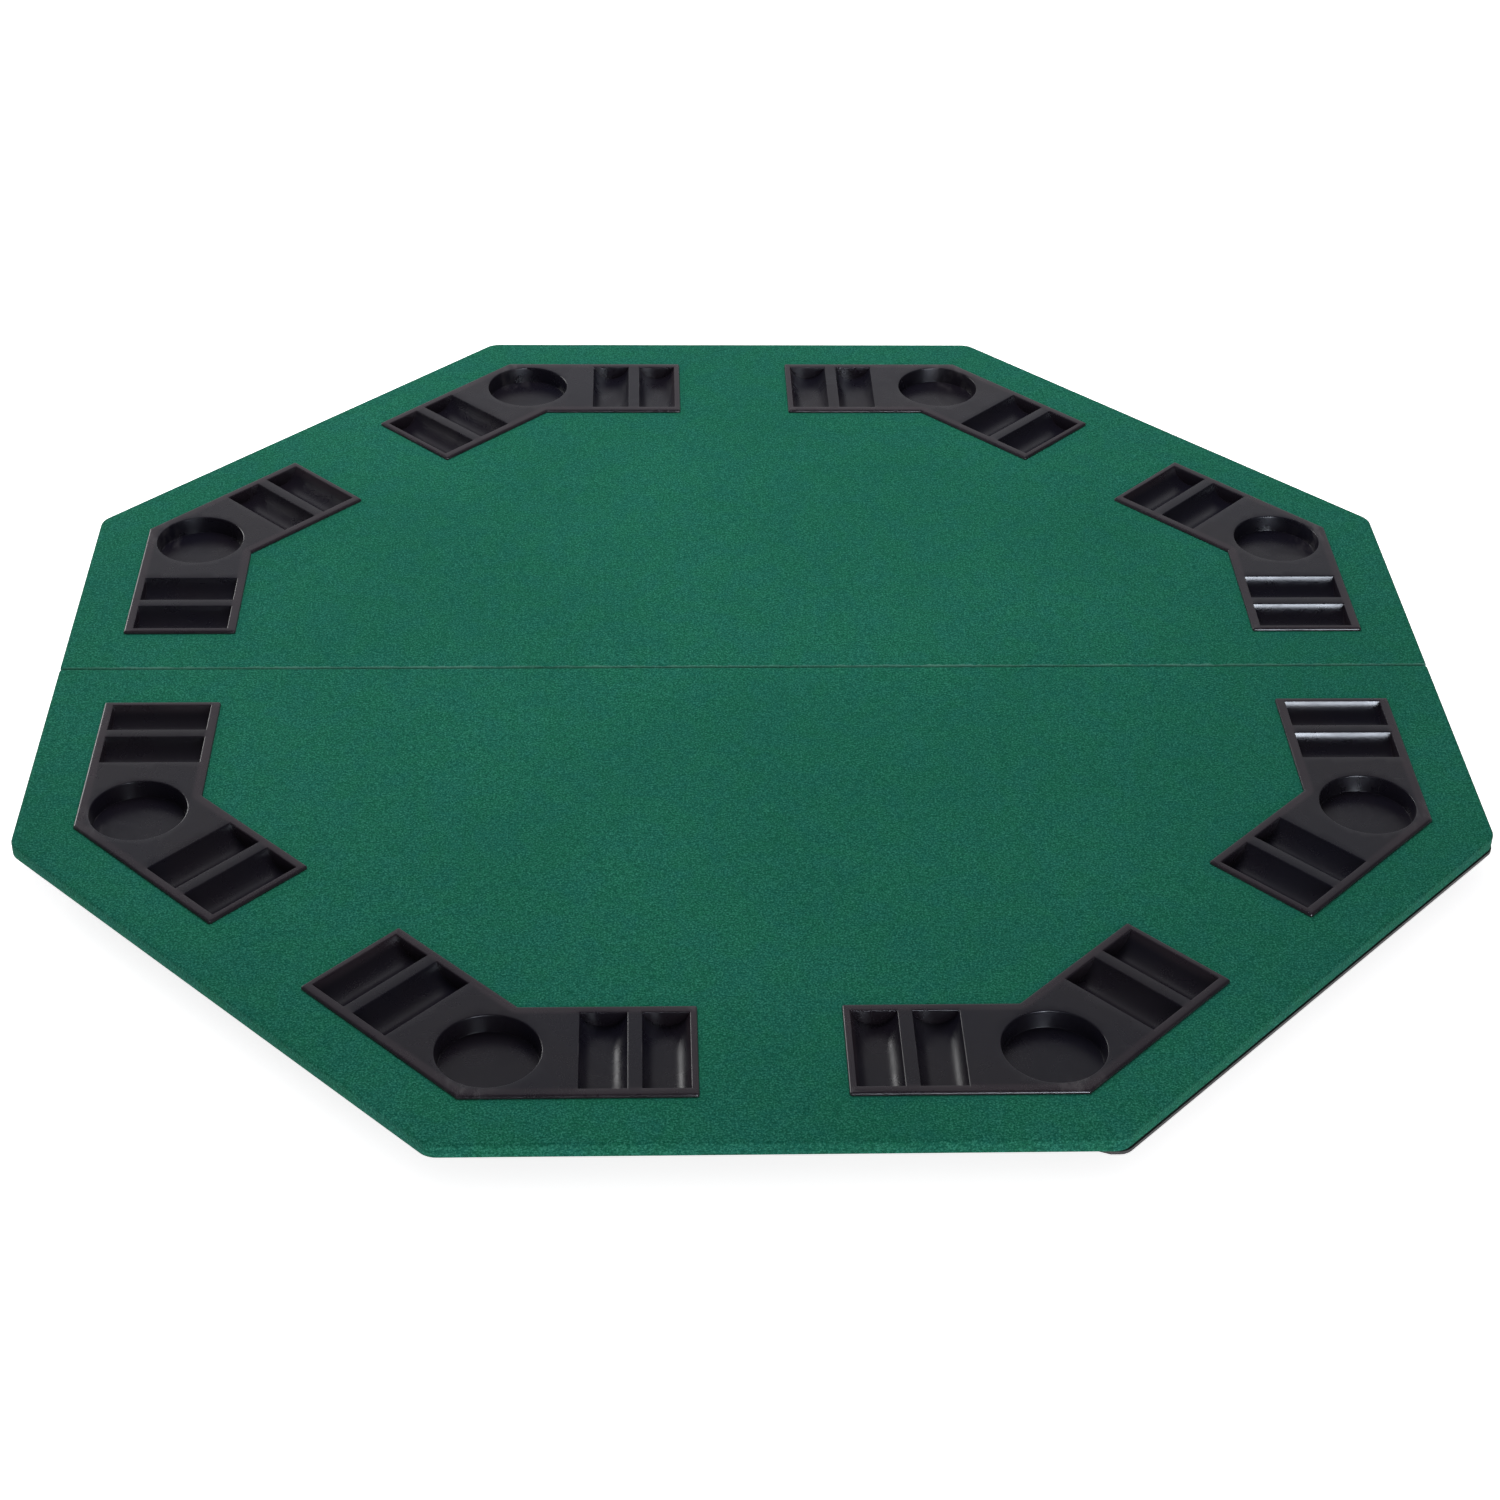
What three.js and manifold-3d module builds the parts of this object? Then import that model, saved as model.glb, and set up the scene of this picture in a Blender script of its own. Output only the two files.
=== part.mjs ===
// Folding card-table top for eight players: a regular octagon in two padded, felt-covered leaves that fold
// underside to underside on three butt hinges, with a moulded chip and cup tray at each corner.
// Millimetres, +Z up. The origin is the centre of the octagon, on the plane the rubber feet stand on.
// The fold runs along X; the rear leaf is on +Y and the front leaf on -Y.
import * as THREE from 'three';
import { mergeVertices } from 'three/addons/utils/BufferGeometryUtils.js';
import Module from 'manifold-3d';

const wasm = await Module();
wasm.setup();

// ---- Driving dimensions ----

const ACROSS_FLATS = 1220; // a 48 inch top
const APOTHEM = ACROSS_FLATS / 2;
const HALF_CORNER = Math.PI / 8; // half of an octagon's 45 degree turn

// Thickness of each layer, from the feet up.
const FOOT_HEIGHT = 8;
const BACKING_THICKNESS = 3;
const FELT_THICKNESS = 1;
const BOARD_THICKNESS = 9;
const PAD_THICKNESS = 2;
const PAD_GAP = 0.1; // between the pad and the felt's underside
const TRAY_RIM_HEIGHT = 2.5;

// Height of each layer's faces.
const UNDERSIDE = FOOT_HEIGHT;
const LIP_BOTTOM = UNDERSIDE + BACKING_THICKNESS;
const BOARD_BOTTOM = LIP_BOTTOM + FELT_THICKNESS;
const BOARD_TOP = BOARD_BOTTOM + BOARD_THICKNESS;
const PAD_TOP = BOARD_TOP + PAD_THICKNESS;
const PLAYING_SURFACE = PAD_TOP + FELT_THICKNESS;
const TRAY_TOP = PLAYING_SURFACE + TRAY_RIM_HEIGHT;

// The wrapped panel.
const CORNER_RADIUS = 18; // plan radius at the octagon's corners
const SEAM_CORNER_RADIUS = 3;
const LEAST_RADIUS = 1;
const SEAM_GAP = 0.5; // between the two leaves' felt
const EDGE_ROLL = 2.5; // radius of the felt where it turns over the edge
const FELT_CLEARANCE = 0.3; // inside the felt, around the pad and the board
const LIP_WIDTH = 10; // felt turned under the board
const BACKING_INSET = 5;
const SEAM_BACKING_INSET = 3;

// The corner tray: two arms that meet over the corner, with a cup well between two pairs of chip troughs.
const TRAY_INSET = 48.3; // from the table's edge
const TRAY_WIDTH = 100;
const TRAY_LENGTH = 177.5; // along the outer edge, from the corner to the arm's end
const TRAY_WALL = 1.5;
const TRAY_CHAMFER = 1.5;
const TRAY_BEARING = 3.4; // how far the flange laps over the felt
const CUP_RADIUS = 40.25;
const CUP_DEPTH = 15.5;
const CUP_DRAFT = 1.5; // how much narrower the well is at its floor
const TROUGH_RADIUS = 19.1; // for 38 mm chips
const TROUGH_DEPTH = 13.6;
const TROUGH_LENGTH = 84;
const TROUGH_END_BORDER = 5.4;
const TROUGH_DIVIDER = 10.8;
const TROUGHS_PER_ARM = 2;
const CUP_HOLE_RADIUS = 44; // in the backing

// Butt hinges along the fold, screwed to the underside.
const HINGE_CENTRES = [-400, 0, 400];
const HINGE_LENGTH = 60;
const HINGE_REACH = 28; // from the pin to the leaf's far edge
const HINGE_THICKNESS = 1.5;
const HINGE_DROP = 4.2; // pin axis below the underside
const KNUCKLE_RADIUS = 2.9;
const KNUCKLES = 5;
const KNUCKLE_GAP = 0.3;
const PIN_RADIUS = 1.5;
const PIN_CLEARANCE = 0.1;
const PIN_HEAD_RADIUS = 2.4;
const PIN_HEAD_LENGTH = 1.2;
const HINGE_SCREW_X = 20;
const HINGE_SCREW_Y = 16;
const HINGE_CORNER = 3;

// Wood screws.
const SCREW_RADIUS = 1.5;
const SCREW_HEAD_RADIUS = 3;
const SCREW_LENGTH = 12;
const SCREW_POINT = 3; // length of the point
const SCREW_GAP = 0.3; // around a screw's head in its countersink
const NECK = 0.2; // from a screw's or a stud's shoulder to the underside
const PILOT_RADIUS = 1.8;
const PILOT_DEPTH = 12;
const PILOT_TOP = UNDERSIDE + PILOT_DEPTH;

// Swivel hooks that lock the leaves flat.
const HOOK_CENTRES = [-200, 200];
const HOOK_PIVOT_Y = 14;
const CATCH_Y = -30;
const HOOK_REACH = HOOK_PIVOT_Y - CATCH_Y;
const HOOK_THICKNESS = 2;
const HOOK_HALF_WIDTH = 6;
const HOOK_EYE_WIDTH = 7; // half width around the pivot
const HOOK_EYE_RADIUS = 5;
const HOOK_NECK = 9; // from the pivot to where the hook narrows
const HOOK_TIP = 8; // beyond the catch
const HOOK_TIP_RADIUS = 4;
const THROAT_FLARE = 1.6; // towards the pivot, because the catch enters on an arc
const WASHER_THICKNESS = 0.8;
const WASHER_RADIUS = 5.5;
const STUD_RADIUS = 2.5;
const STUD_HEAD_RADIUS = 5;
const STUD_HEAD_THICKNESS = 2.2;
const STUD_CLEARANCE = 0.4;
const FLAT_FIT = 0.2; // between the hook's faces and its neighbours

// Rubber feet on one leaf; the other leaf is turned half a turn, so that folded feet pass each other.
const FOOT_RADIUS = 10;
const FOOT_TAPER = 1;
const FOOT_BEVEL = 1;
const FOOT_PLACES = [[-560, 45], [-120, 45], [290, 45], [-410, 410], [430, 380], [20, 585]];

// Facets around each kind of round surface.
const CUP_SEGMENTS = 24;
const TROUGH_SEGMENTS = 16;
const ROUND_SEGMENTS = 12;
const SCREW_SEGMENTS = 8;
const CORNER_STEPS = 3;
const ROLL_STEPS = 2;

const OVERRUN = 1; // how far a cutter runs past the face it cuts
const MERGE_DISTANCE = 1e-4;

// ---- Materials ----

const plastic = new THREE.MeshStandardMaterial({ color: 0x1b1a1f, roughness: 0.45, metalness: 0 });
const felt = new THREE.MeshStandardMaterial({ color: 0x1a6246, roughness: 0.95, metalness: 0 });
const fibreboard = new THREE.MeshStandardMaterial({ color: 0x9a7b55, roughness: 0.85, metalness: 0 });
const foam = new THREE.MeshStandardMaterial({ color: 0x3a3a3a, roughness: 0.9, metalness: 0 });
const blackBoard = new THREE.MeshStandardMaterial({ color: 0x16161a, roughness: 0.7, metalness: 0 });
const steel = new THREE.MeshStandardMaterial({ color: 0xb9bbc0, roughness: 0.3, metalness: 1 });
const rubber = new THREE.MeshStandardMaterial({ color: 0x141414, roughness: 0.9, metalness: 0 });

// ---- Solids ----

// A closed three.js geometry as a manifold-3d solid.
function solidOf(geometry) {
  const bare = geometry.clone();
  bare.deleteAttribute('normal');
  bare.deleteAttribute('uv');
  const merged = mergeVertices(bare, MERGE_DISTANCE);
  return new wasm.Manifold(new wasm.Mesh({
    numProp: 3,
    vertProperties: merged.attributes.position.array,
    triVerts: new Uint32Array(merged.index.array),
  }));
}

// A manifold-3d solid as a flat-shaded three.js geometry.
function geometryOf(solid) {
  const mesh = solid.getMesh();
  const indexed = new THREE.BufferGeometry();
  indexed.setAttribute('position', new THREE.BufferAttribute(new Float32Array(mesh.vertProperties), 3));
  indexed.setIndex(new THREE.BufferAttribute(mesh.triVerts, 1));
  const geometry = indexed.toNonIndexed();
  geometry.computeVertexNormals();
  return geometry;
}

const joinAll = (solids) => solids.reduce((whole, one) => whole.add(one));
const cutAll = (solid, cutters) => cutters.reduce((left, cutter) => left.subtract(cutter), solid);

// A plan outline raised from bottom to top.
function prismGeometry(shape, bottom, top) {
  const geometry = new THREE.ExtrudeGeometry(shape, { depth: top - bottom, bevelEnabled: false });
  return geometry.translate(0, 0, bottom);
}

const prism = (shape, bottom, top) => solidOf(prismGeometry(shape, bottom, top));

// A prism whose top edge is turned over with a radius, as padding under cloth is.
function rolledPrism(shape, bottom, top, roll, steps) {
  const spare = 4 * roll;
  const geometry = new THREE.ExtrudeGeometry(shape, {
    depth: top - bottom + spare - 2 * roll,
    bevelThickness: roll,
    bevelSize: roll,
    bevelOffset: -roll,
    bevelSegments: steps,
  });
  const whole = solidOf(geometry.translate(0, 0, bottom - spare + roll));
  return whole.intersect(slab(bottom, top));
}

// Everything between two heights.
function slab(bottom, top) {
  const box = new THREE.BoxGeometry(2 * ACROSS_FLATS, 2 * ACROSS_FLATS, top - bottom);
  return solidOf(box.translate(0, 0, (bottom + top) / 2));
}

// A turned piece standing on Z, from [radius, height] points that start and end on the axis.
function turned(profile, segments) {
  const points = profile.map(([radius, height]) => new THREE.Vector2(radius, height));
  return new THREE.LatheGeometry(points, segments).rotateX(Math.PI / 2);
}

function cylinder(x, y, radius, bottom, top, segments) {
  const profile = [[0, bottom], [radius, bottom], [radius, top], [0, top]];
  return solidOf(turned(profile, segments).translate(x, y, 0));
}

// A cylinder lying along X at a height.
function rod(radius, start, end, height) {
  const geometry = turned([[0, start], [radius, start], [radius, end], [0, end]], ROUND_SEGMENTS);
  return solidOf(geometry.rotateY(Math.PI / 2).translate(0, 0, height));
}

// A polygon whose corners are rounded, each [x, y, radius], listed anticlockwise.
function roundedShape(corners) {
  const shape = new THREE.Shape();
  corners.forEach(([x, y, radius], i) => {
    const here = new THREE.Vector2(x, y);
    if (!radius) {
      if (i) shape.lineTo(x, y);
      else shape.moveTo(x, y);
      return;
    }
    const count = corners.length;
    const before = new THREE.Vector2(...corners[(i + count - 1) % count].slice(0, 2)).sub(here).normalize();
    const after = new THREE.Vector2(...corners[(i + 1) % count].slice(0, 2)).sub(here).normalize();
    const halfAngle = Math.acos(before.dot(after)) / 2;
    const middle = before.clone().add(after).setLength(radius / Math.sin(halfAngle)).add(here);
    const start = before.multiplyScalar(radius / Math.tan(halfAngle)).add(here).sub(middle).angle();
    const turn = Math.PI - 2 * halfAngle;
    for (let k = 0; k <= CORNER_STEPS; k += 1) {
      const angle = start + (turn * k) / CORNER_STEPS;
      const px = middle.x + radius * Math.cos(angle);
      const py = middle.y + radius * Math.sin(angle);
      if (i || k) shape.lineTo(px, py);
      else shape.moveTo(px, py);
    }
  });
  shape.closePath();
  return shape;
}

// ---- The leaf: board, pad, felt and backing ----

// Plan of the leaf on +Y, drawn in from the outer edges by inset and from the fold by seamInset.
function leafShape(inset, seamInset) {
  const edge = APOTHEM - inset;
  const corner = edge * Math.tan(HALF_CORNER);
  const radius = CORNER_RADIUS - inset;
  const seamRadius = Math.max(SEAM_CORNER_RADIUS - inset, LEAST_RADIUS);
  return roundedShape([
    [edge, seamInset, seamRadius],
    [edge, corner, radius],
    [corner, edge, radius],
    [-corner, edge, radius],
    [-edge, corner, radius],
    [-edge, seamInset, seamRadius],
  ]);
}

// The leaf's outline raised to a top whose edge is turned over, parallel to the outside of the felt.
function rolledLeaf(inset, bottom, top) {
  return rolledPrism(leafShape(inset, SEAM_GAP / 2 + inset), bottom, top, EDGE_ROLL - inset, ROLL_STEPS);
}

const BOARD_INSET = FELT_THICKNESS + 2 * FELT_CLEARANCE;
const TRAY_ANGLES = [1, 3, 5, 7].map((k) => k * HALF_CORNER); // corners of the leaf on +Y

// A tray is drawn with the table's centre at its origin and its corner on +Y.
const trayTurn = (angle) => angle - Math.PI / 2;

// Plan of the tray's flange, drawn in by inset.
function trayShape(inset) {
  const across = new THREE.Vector2(Math.cos(HALF_CORNER), -Math.sin(HALF_CORNER));
  const outer = (APOTHEM - TRAY_INSET - inset) / Math.cos(HALF_CORNER);
  const inner = (APOTHEM - TRAY_INSET - TRAY_WIDTH + inset) / Math.cos(HALF_CORNER);
  const outerLength = TRAY_LENGTH - inset - inset * Math.tan(HALF_CORNER);
  const innerLength = outerLength - (TRAY_WIDTH - 2 * inset) * Math.tan(HALF_CORNER);
  const end = (start, length, side) => [side * length * across.x, start + length * across.y, 0];
  return roundedShape([
    [0, outer, 0],
    end(outer, outerLength, -1),
    end(inner, innerLength, -1),
    [0, inner, 0],
    end(inner, innerLength, 1),
    end(outer, outerLength, 1),
  ]);
}

const CUP_PLACE = (APOTHEM - TRAY_INSET - TRAY_WIDTH / 2) / Math.cos(HALF_CORNER);

function trayOpenings(bottom) {
  const opening = prismGeometry(trayShape(TRAY_BEARING), bottom, TRAY_TOP);
  return TRAY_ANGLES.map((angle) => solidOf(opening.clone().rotateZ(trayTurn(angle))));
}

function cupHoles() {
  return TRAY_ANGLES.map((angle) => {
    const x = CUP_PLACE * Math.cos(angle);
    const y = CUP_PLACE * Math.sin(angle);
    return cylinder(x, y, CUP_HOLE_RADIUS, 0, BOARD_BOTTOM, CUP_SEGMENTS);
  });
}

// Pilot holes for the screws of the hinges and of the hook parts, on the leaf on +Y.
function pilotHoles(hookPartY) {
  const hingeX = HINGE_CENTRES.flatMap((x) => [x - HINGE_SCREW_X, x + HINGE_SCREW_X]);
  const hole = (x, y) => cylinder(x, y, PILOT_RADIUS, 0, PILOT_TOP, SCREW_SEGMENTS);
  return [...hingeX.map((x) => hole(x, HINGE_SCREW_Y)), ...HOOK_CENTRES.map((x) => hole(x, hookPartY))];
}

function boardSolid(holes) {
  const blank = prism(leafShape(BOARD_INSET, SEAM_GAP / 2 + BOARD_INSET), BOARD_BOTTOM, BOARD_TOP);
  return cutAll(blank, [...trayOpenings(0), ...holes]);
}

function padSolid() {
  return cutAll(rolledLeaf(BOARD_INSET, BOARD_TOP, PAD_TOP - PAD_GAP), trayOpenings(0));
}

// Cloth over the top, down the edges and turned under the board.
function feltSolid() {
  const inside = rolledLeaf(FELT_THICKNESS + FELT_CLEARANCE, BOARD_BOTTOM, PAD_TOP);
  const mouth = prism(leafShape(LIP_WIDTH, SEAM_GAP / 2 + LIP_WIDTH), 0, BOARD_BOTTOM + OVERRUN);
  return cutAll(rolledLeaf(0, LIP_BOTTOM, PLAYING_SURFACE), [inside, mouth, ...trayOpenings(BOARD_BOTTOM)]);
}

function backingSolid(holes) {
  const blank = prism(leafShape(BACKING_INSET, SEAM_BACKING_INSET), UNDERSIDE, LIP_BOTTOM);
  return cutAll(blank, [...cupHoles(), ...holes]);
}

// ---- The corner tray ----

// The troughs' centres along the outer edge, measured from the tray's corner.
const TROUGH_CHORD = 2 * Math.sqrt(TROUGH_RADIUS ** 2 - (TROUGH_RADIUS - TROUGH_DEPTH) ** 2);
const TROUGH_CENTRES = Array.from({ length: TROUGHS_PER_ARM }, (_, i) => (
  TRAY_LENGTH - TROUGH_END_BORDER - TROUGH_CHORD / 2 - i * (TROUGH_CHORD + TROUGH_DIVIDER)
));

// A half-round bar across one arm, standing for a trough's inside or its outside.
function troughBar(side, along, grow) {
  const radius = TROUGH_RADIUS + grow;
  const length = TROUGH_LENGTH + 2 * grow;
  const axisHeight = TRAY_TOP - TROUGH_DEPTH + TROUGH_RADIUS;
  const bar = new THREE.CylinderGeometry(radius, radius, length, TROUGH_SEGMENTS).translate(0, 0, axisHeight);
  // In the arm's frame X runs along the outer edge and -Y across the arm, towards the table's centre.
  bar.translate(side * along, -TRAY_WIDTH / 2, 0);
  bar.rotateZ(-side * HALF_CORNER);
  bar.translate(0, (APOTHEM - TRAY_INSET) / Math.cos(HALF_CORNER), 0);
  return solidOf(bar);
}

function cupBody(grow) {
  const floor = TRAY_TOP - CUP_DEPTH - grow;
  const top = CUP_RADIUS + grow;
  const end = TRAY_TOP + OVERRUN;
  const profile = [[0, floor], [top - CUP_DRAFT, floor], [top, TRAY_TOP], [top, end], [0, end]];
  return solidOf(turned(profile, CUP_SEGMENTS).translate(0, CUP_PLACE, 0));
}

function traySolid() {
  const flange = rolledPrism(trayShape(0), PLAYING_SURFACE, TRAY_TOP, TRAY_CHAMFER, 1);
  const places = [-1, 1].flatMap((side) => TROUGH_CENTRES.map((along) => [side, along]));
  const hollows = places.map(([side, along]) => troughBar(side, along, 0));
  const shells = places.map(([side, along]) => troughBar(side, along, TRAY_WALL));
  const below = joinAll([cupBody(TRAY_WALL), ...shells]).intersect(slab(0, TRAY_TOP - TRAY_CHAMFER));
  return cutAll(flange.add(below), [cupBody(0), ...hollows]);
}

// ---- Hinges ----

const PIN_HEIGHT = UNDERSIDE - HINGE_DROP;

// One leaf of a hinge centred on the origin, reaching to +Y. The first leaf has the outer knuckles.
function hingeLeafSolid(first) {
  const pitch = HINGE_LENGTH / KNUCKLES;
  const back = KNUCKLE_RADIUS + KNUCKLE_GAP;
  const bottom = UNDERSIDE - HINGE_THICKNESS;
  const half = HINGE_LENGTH / 2;
  const plate = prism(roundedShape([
    [half, back, 0], [half, HINGE_REACH, HINGE_CORNER], [-half, HINGE_REACH, HINGE_CORNER], [-half, back, 0],
  ]), bottom, UNDERSIDE);
  const knuckles = [];
  for (let k = first ? 0 : 1; k < KNUCKLES; k += 2) {
    const start = -half + k * pitch + (k > 0 ? KNUCKLE_GAP / 2 : 0);
    const end = -half + (k + 1) * pitch - (k < KNUCKLES - 1 ? KNUCKLE_GAP / 2 : 0);
    const joined = back + OVERRUN;
    const web = roundedShape([[start, 0, 0], [end, 0, 0], [end, joined, 0], [start, joined, 0]]);
    knuckles.push(rod(KNUCKLE_RADIUS, start, end, PIN_HEIGHT));
    knuckles.push(prism(web, bottom, UNDERSIDE));
  }
  const bore = rod(PIN_RADIUS + PIN_CLEARANCE, -HINGE_LENGTH, HINGE_LENGTH, PIN_HEIGHT);
  const sinks = [-HINGE_SCREW_X, HINGE_SCREW_X].map((x) => screwSink(x));
  return cutAll(joinAll([plate, ...knuckles]), [bore, ...sinks]);
}

function pinSolid() {
  const half = HINGE_LENGTH / 2;
  const head = rod(PIN_HEAD_RADIUS, -half - PIN_HEAD_LENGTH, -half - FLAT_FIT, PIN_HEIGHT);
  return rod(PIN_RADIUS, -half - FLAT_FIT, half + FLAT_FIT, PIN_HEIGHT).add(head);
}

// ---- Screws, studs, washers and hooks ----

// The countersink and clearance hole in a hinge leaf.
function screwSink(x) {
  const face = UNDERSIDE - HINGE_THICKNESS;
  const start = face - OVERRUN;
  const end = UNDERSIDE + OVERRUN;
  const mouth = SCREW_HEAD_RADIUS + SCREW_GAP;
  const profile = [
    [0, start], [mouth, start], [mouth, face],
    [PILOT_RADIUS, UNDERSIDE - NECK], [PILOT_RADIUS, end], [0, end],
  ];
  return solidOf(turned(profile, SCREW_SEGMENTS).translate(x, HINGE_SCREW_Y, 0));
}

// A countersunk wood screw, point up, with its head flush with the hinge leaf.
function screwSolid() {
  const face = UNDERSIDE - HINGE_THICKNESS;
  const tip = face + SCREW_LENGTH;
  return solidOf(turned([
    [0, face], [SCREW_HEAD_RADIUS, face], [SCREW_RADIUS, UNDERSIDE - NECK], [SCREW_RADIUS, tip - SCREW_POINT],
    [0, tip],
  ], SCREW_SEGMENTS));
}

const HOOK_TOP = UNDERSIDE - WASHER_THICKNESS;
const HOOK_BOTTOM = HOOK_TOP - HOOK_THICKNESS;

// A headed stud with a wood thread: the hook turns on one and catches on another.
function studSolid() {
  const head = HOOK_BOTTOM - FLAT_FIT;
  const face = head - STUD_HEAD_THICKNESS;
  const tip = PILOT_TOP - OVERRUN;
  return solidOf(turned([
    [0, face], [STUD_HEAD_RADIUS - STUD_HEAD_THICKNESS / 2, face],
    [STUD_HEAD_RADIUS, head - STUD_HEAD_THICKNESS / 2], [STUD_HEAD_RADIUS, head], [STUD_RADIUS, head],
    [STUD_RADIUS, UNDERSIDE - NECK], [SCREW_RADIUS, UNDERSIDE - NECK],
    [SCREW_RADIUS, tip - SCREW_POINT], [0, tip],
  ], ROUND_SEGMENTS));
}

function washerSolid() {
  const hole = STUD_RADIUS + STUD_CLEARANCE;
  const ring = cylinder(0, 0, WASHER_RADIUS, HOOK_TOP + FLAT_FIT / 2, UNDERSIDE, ROUND_SEGMENTS);
  return ring.subtract(cylinder(0, 0, hole, 0, UNDERSIDE + OVERRUN, ROUND_SEGMENTS));
}

// A swivel hook lying along +X from its pivot, with its jaw open to -Y.
function hookSolid() {
  const tip = HOOK_REACH + HOOK_TIP;
  const eye = HOOK_EYE_WIDTH;
  const outline = roundedShape([
    [-eye, -eye, HOOK_EYE_RADIUS], [HOOK_NECK, -HOOK_HALF_WIDTH, 0], [tip, -HOOK_HALF_WIDTH, HOOK_TIP_RADIUS],
    [tip, HOOK_HALF_WIDTH, HOOK_TIP_RADIUS], [HOOK_NECK, HOOK_HALF_WIDTH, 0], [-eye, eye, HOOK_EYE_RADIUS],
  ]);
  const jaw = STUD_RADIUS + STUD_CLEARANCE;
  const mouth = -2 * HOOK_HALF_WIDTH;
  const throat = roundedShape([
    [HOOK_REACH - jaw, 0, 0], [HOOK_REACH - jaw - THROAT_FLARE, mouth, 0],
    [HOOK_REACH + jaw, mouth, 0], [HOOK_REACH + jaw, 0, 0],
  ]);
  const cutters = [
    prism(throat, 0, FOOT_HEIGHT),
    cylinder(HOOK_REACH, 0, jaw, 0, FOOT_HEIGHT, ROUND_SEGMENTS),
    cylinder(0, 0, jaw, 0, FOOT_HEIGHT, ROUND_SEGMENTS),
  ];
  return cutAll(prism(outline, HOOK_BOTTOM, HOOK_TOP), cutters);
}

function footGeometry() {
  return turned([
    [0, 0], [FOOT_RADIUS - FOOT_TAPER - FOOT_BEVEL, 0], [FOOT_RADIUS - FOOT_TAPER, FOOT_BEVEL],
    [FOOT_RADIUS, FOOT_HEIGHT], [0, FOOT_HEIGHT],
  ], ROUND_SEGMENTS);
}

// ---- Assembly ----

function mesh(name, geometry, material, x = 0, y = 0) {
  const made = new THREE.Mesh(geometry, material);
  made.name = name;
  made.position.set(x, y, 0);
  return made;
}

const trayGeometry = geometryOf(traySolid());
const screwGeometry = geometryOf(screwSolid());
const studGeometry = geometryOf(studSolid());
const washerGeometry = geometryOf(washerSolid());
const hookGeometry = geometryOf(hookSolid());
const TRAY_NAMES = {
  rear: ['tray_right_rear', 'tray_rear_right', 'tray_rear_left', 'tray_left_rear'],
  front: ['tray_left_front', 'tray_front_left', 'tray_front_right', 'tray_right_front'],
};

// One leaf of the table, built on +Y. The front leaf is the same leaf turned half a turn.
function tableLeaf(place, hookPartY) {
  const leaf = new THREE.Group();
  const holes = pilotHoles(hookPartY);
  leaf.add(mesh(`board_${place}`, geometryOf(boardSolid(holes)), fibreboard));
  leaf.add(mesh(`foam_pad_${place}`, geometryOf(padSolid()), foam));
  leaf.add(mesh(`felt_cover_${place}`, geometryOf(feltSolid()), felt));
  leaf.add(mesh(`backing_panel_${place}`, geometryOf(backingSolid(holes)), blackBoard));
  TRAY_ANGLES.forEach((angle, i) => {
    const tray = mesh(TRAY_NAMES[place][i], trayGeometry, plastic);
    tray.rotation.z = trayTurn(angle);
    leaf.add(tray);
  });
  FOOT_PLACES.forEach(([x, y], i) => {
    leaf.add(mesh(`rubber_foot_${place}_${i + 1}`, footGeometry(), rubber, x, y));
  });
  HINGE_CENTRES.forEach((x, i) => {
    // Hinges are numbered from the left of the whole table, which a turned leaf counts from its right.
    const number = place === 'rear' ? i + 1 : HINGE_CENTRES.length - i;
    leaf.add(mesh(`hinge_${number}_leaf_${place}`, geometryOf(hingeLeafSolid(place === 'rear')), steel, x));
    [-HINGE_SCREW_X, HINGE_SCREW_X].forEach((dx, k) => {
      leaf.add(mesh(`hinge_${number}_screw_${place}_${k + 1}`, screwGeometry, steel, x + dx, HINGE_SCREW_Y));
    });
  });
  return leaf;
}

const table = new THREE.Group();
const rear = tableLeaf('rear', HOOK_PIVOT_Y);
const front = tableLeaf('front', -CATCH_Y);
front.rotation.z = Math.PI;
table.add(rear, front);

HINGE_CENTRES.forEach((x, i) => table.add(mesh(`hinge_${i + 1}_pin`, geometryOf(pinSolid()), steel, x)));

// Each hook is stowed along the fold, pointing away from the middle; the left one is a mirror image.
HOOK_CENTRES.forEach((x) => {
  const label = x < 0 ? 'left' : 'right';
  const hook = mesh(`hook_${label}`, hookGeometry, steel, x, HOOK_PIVOT_Y);
  hook.scale.x = Math.sign(x);
  table.add(hook);
  table.add(mesh(`hook_pivot_${label}`, studGeometry, steel, x, HOOK_PIVOT_Y));
  table.add(mesh(`hook_washer_${label}`, washerGeometry, steel, x, HOOK_PIVOT_Y));
  table.add(mesh(`hook_catch_${label}`, studGeometry, steel, x, CATCH_Y));
});

export default table;
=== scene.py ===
"""A folding card-table top for eight players: green felt over foam on two fibreboard leaves, with a moulded
black chip and cup tray at each corner. Metres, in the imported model's frame."""
import math

import bmesh
import bpy
import numpy as np
from mathutils import Matrix, Vector, noise
from mathutils.geometry import delaunay_2d_cdt


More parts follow.
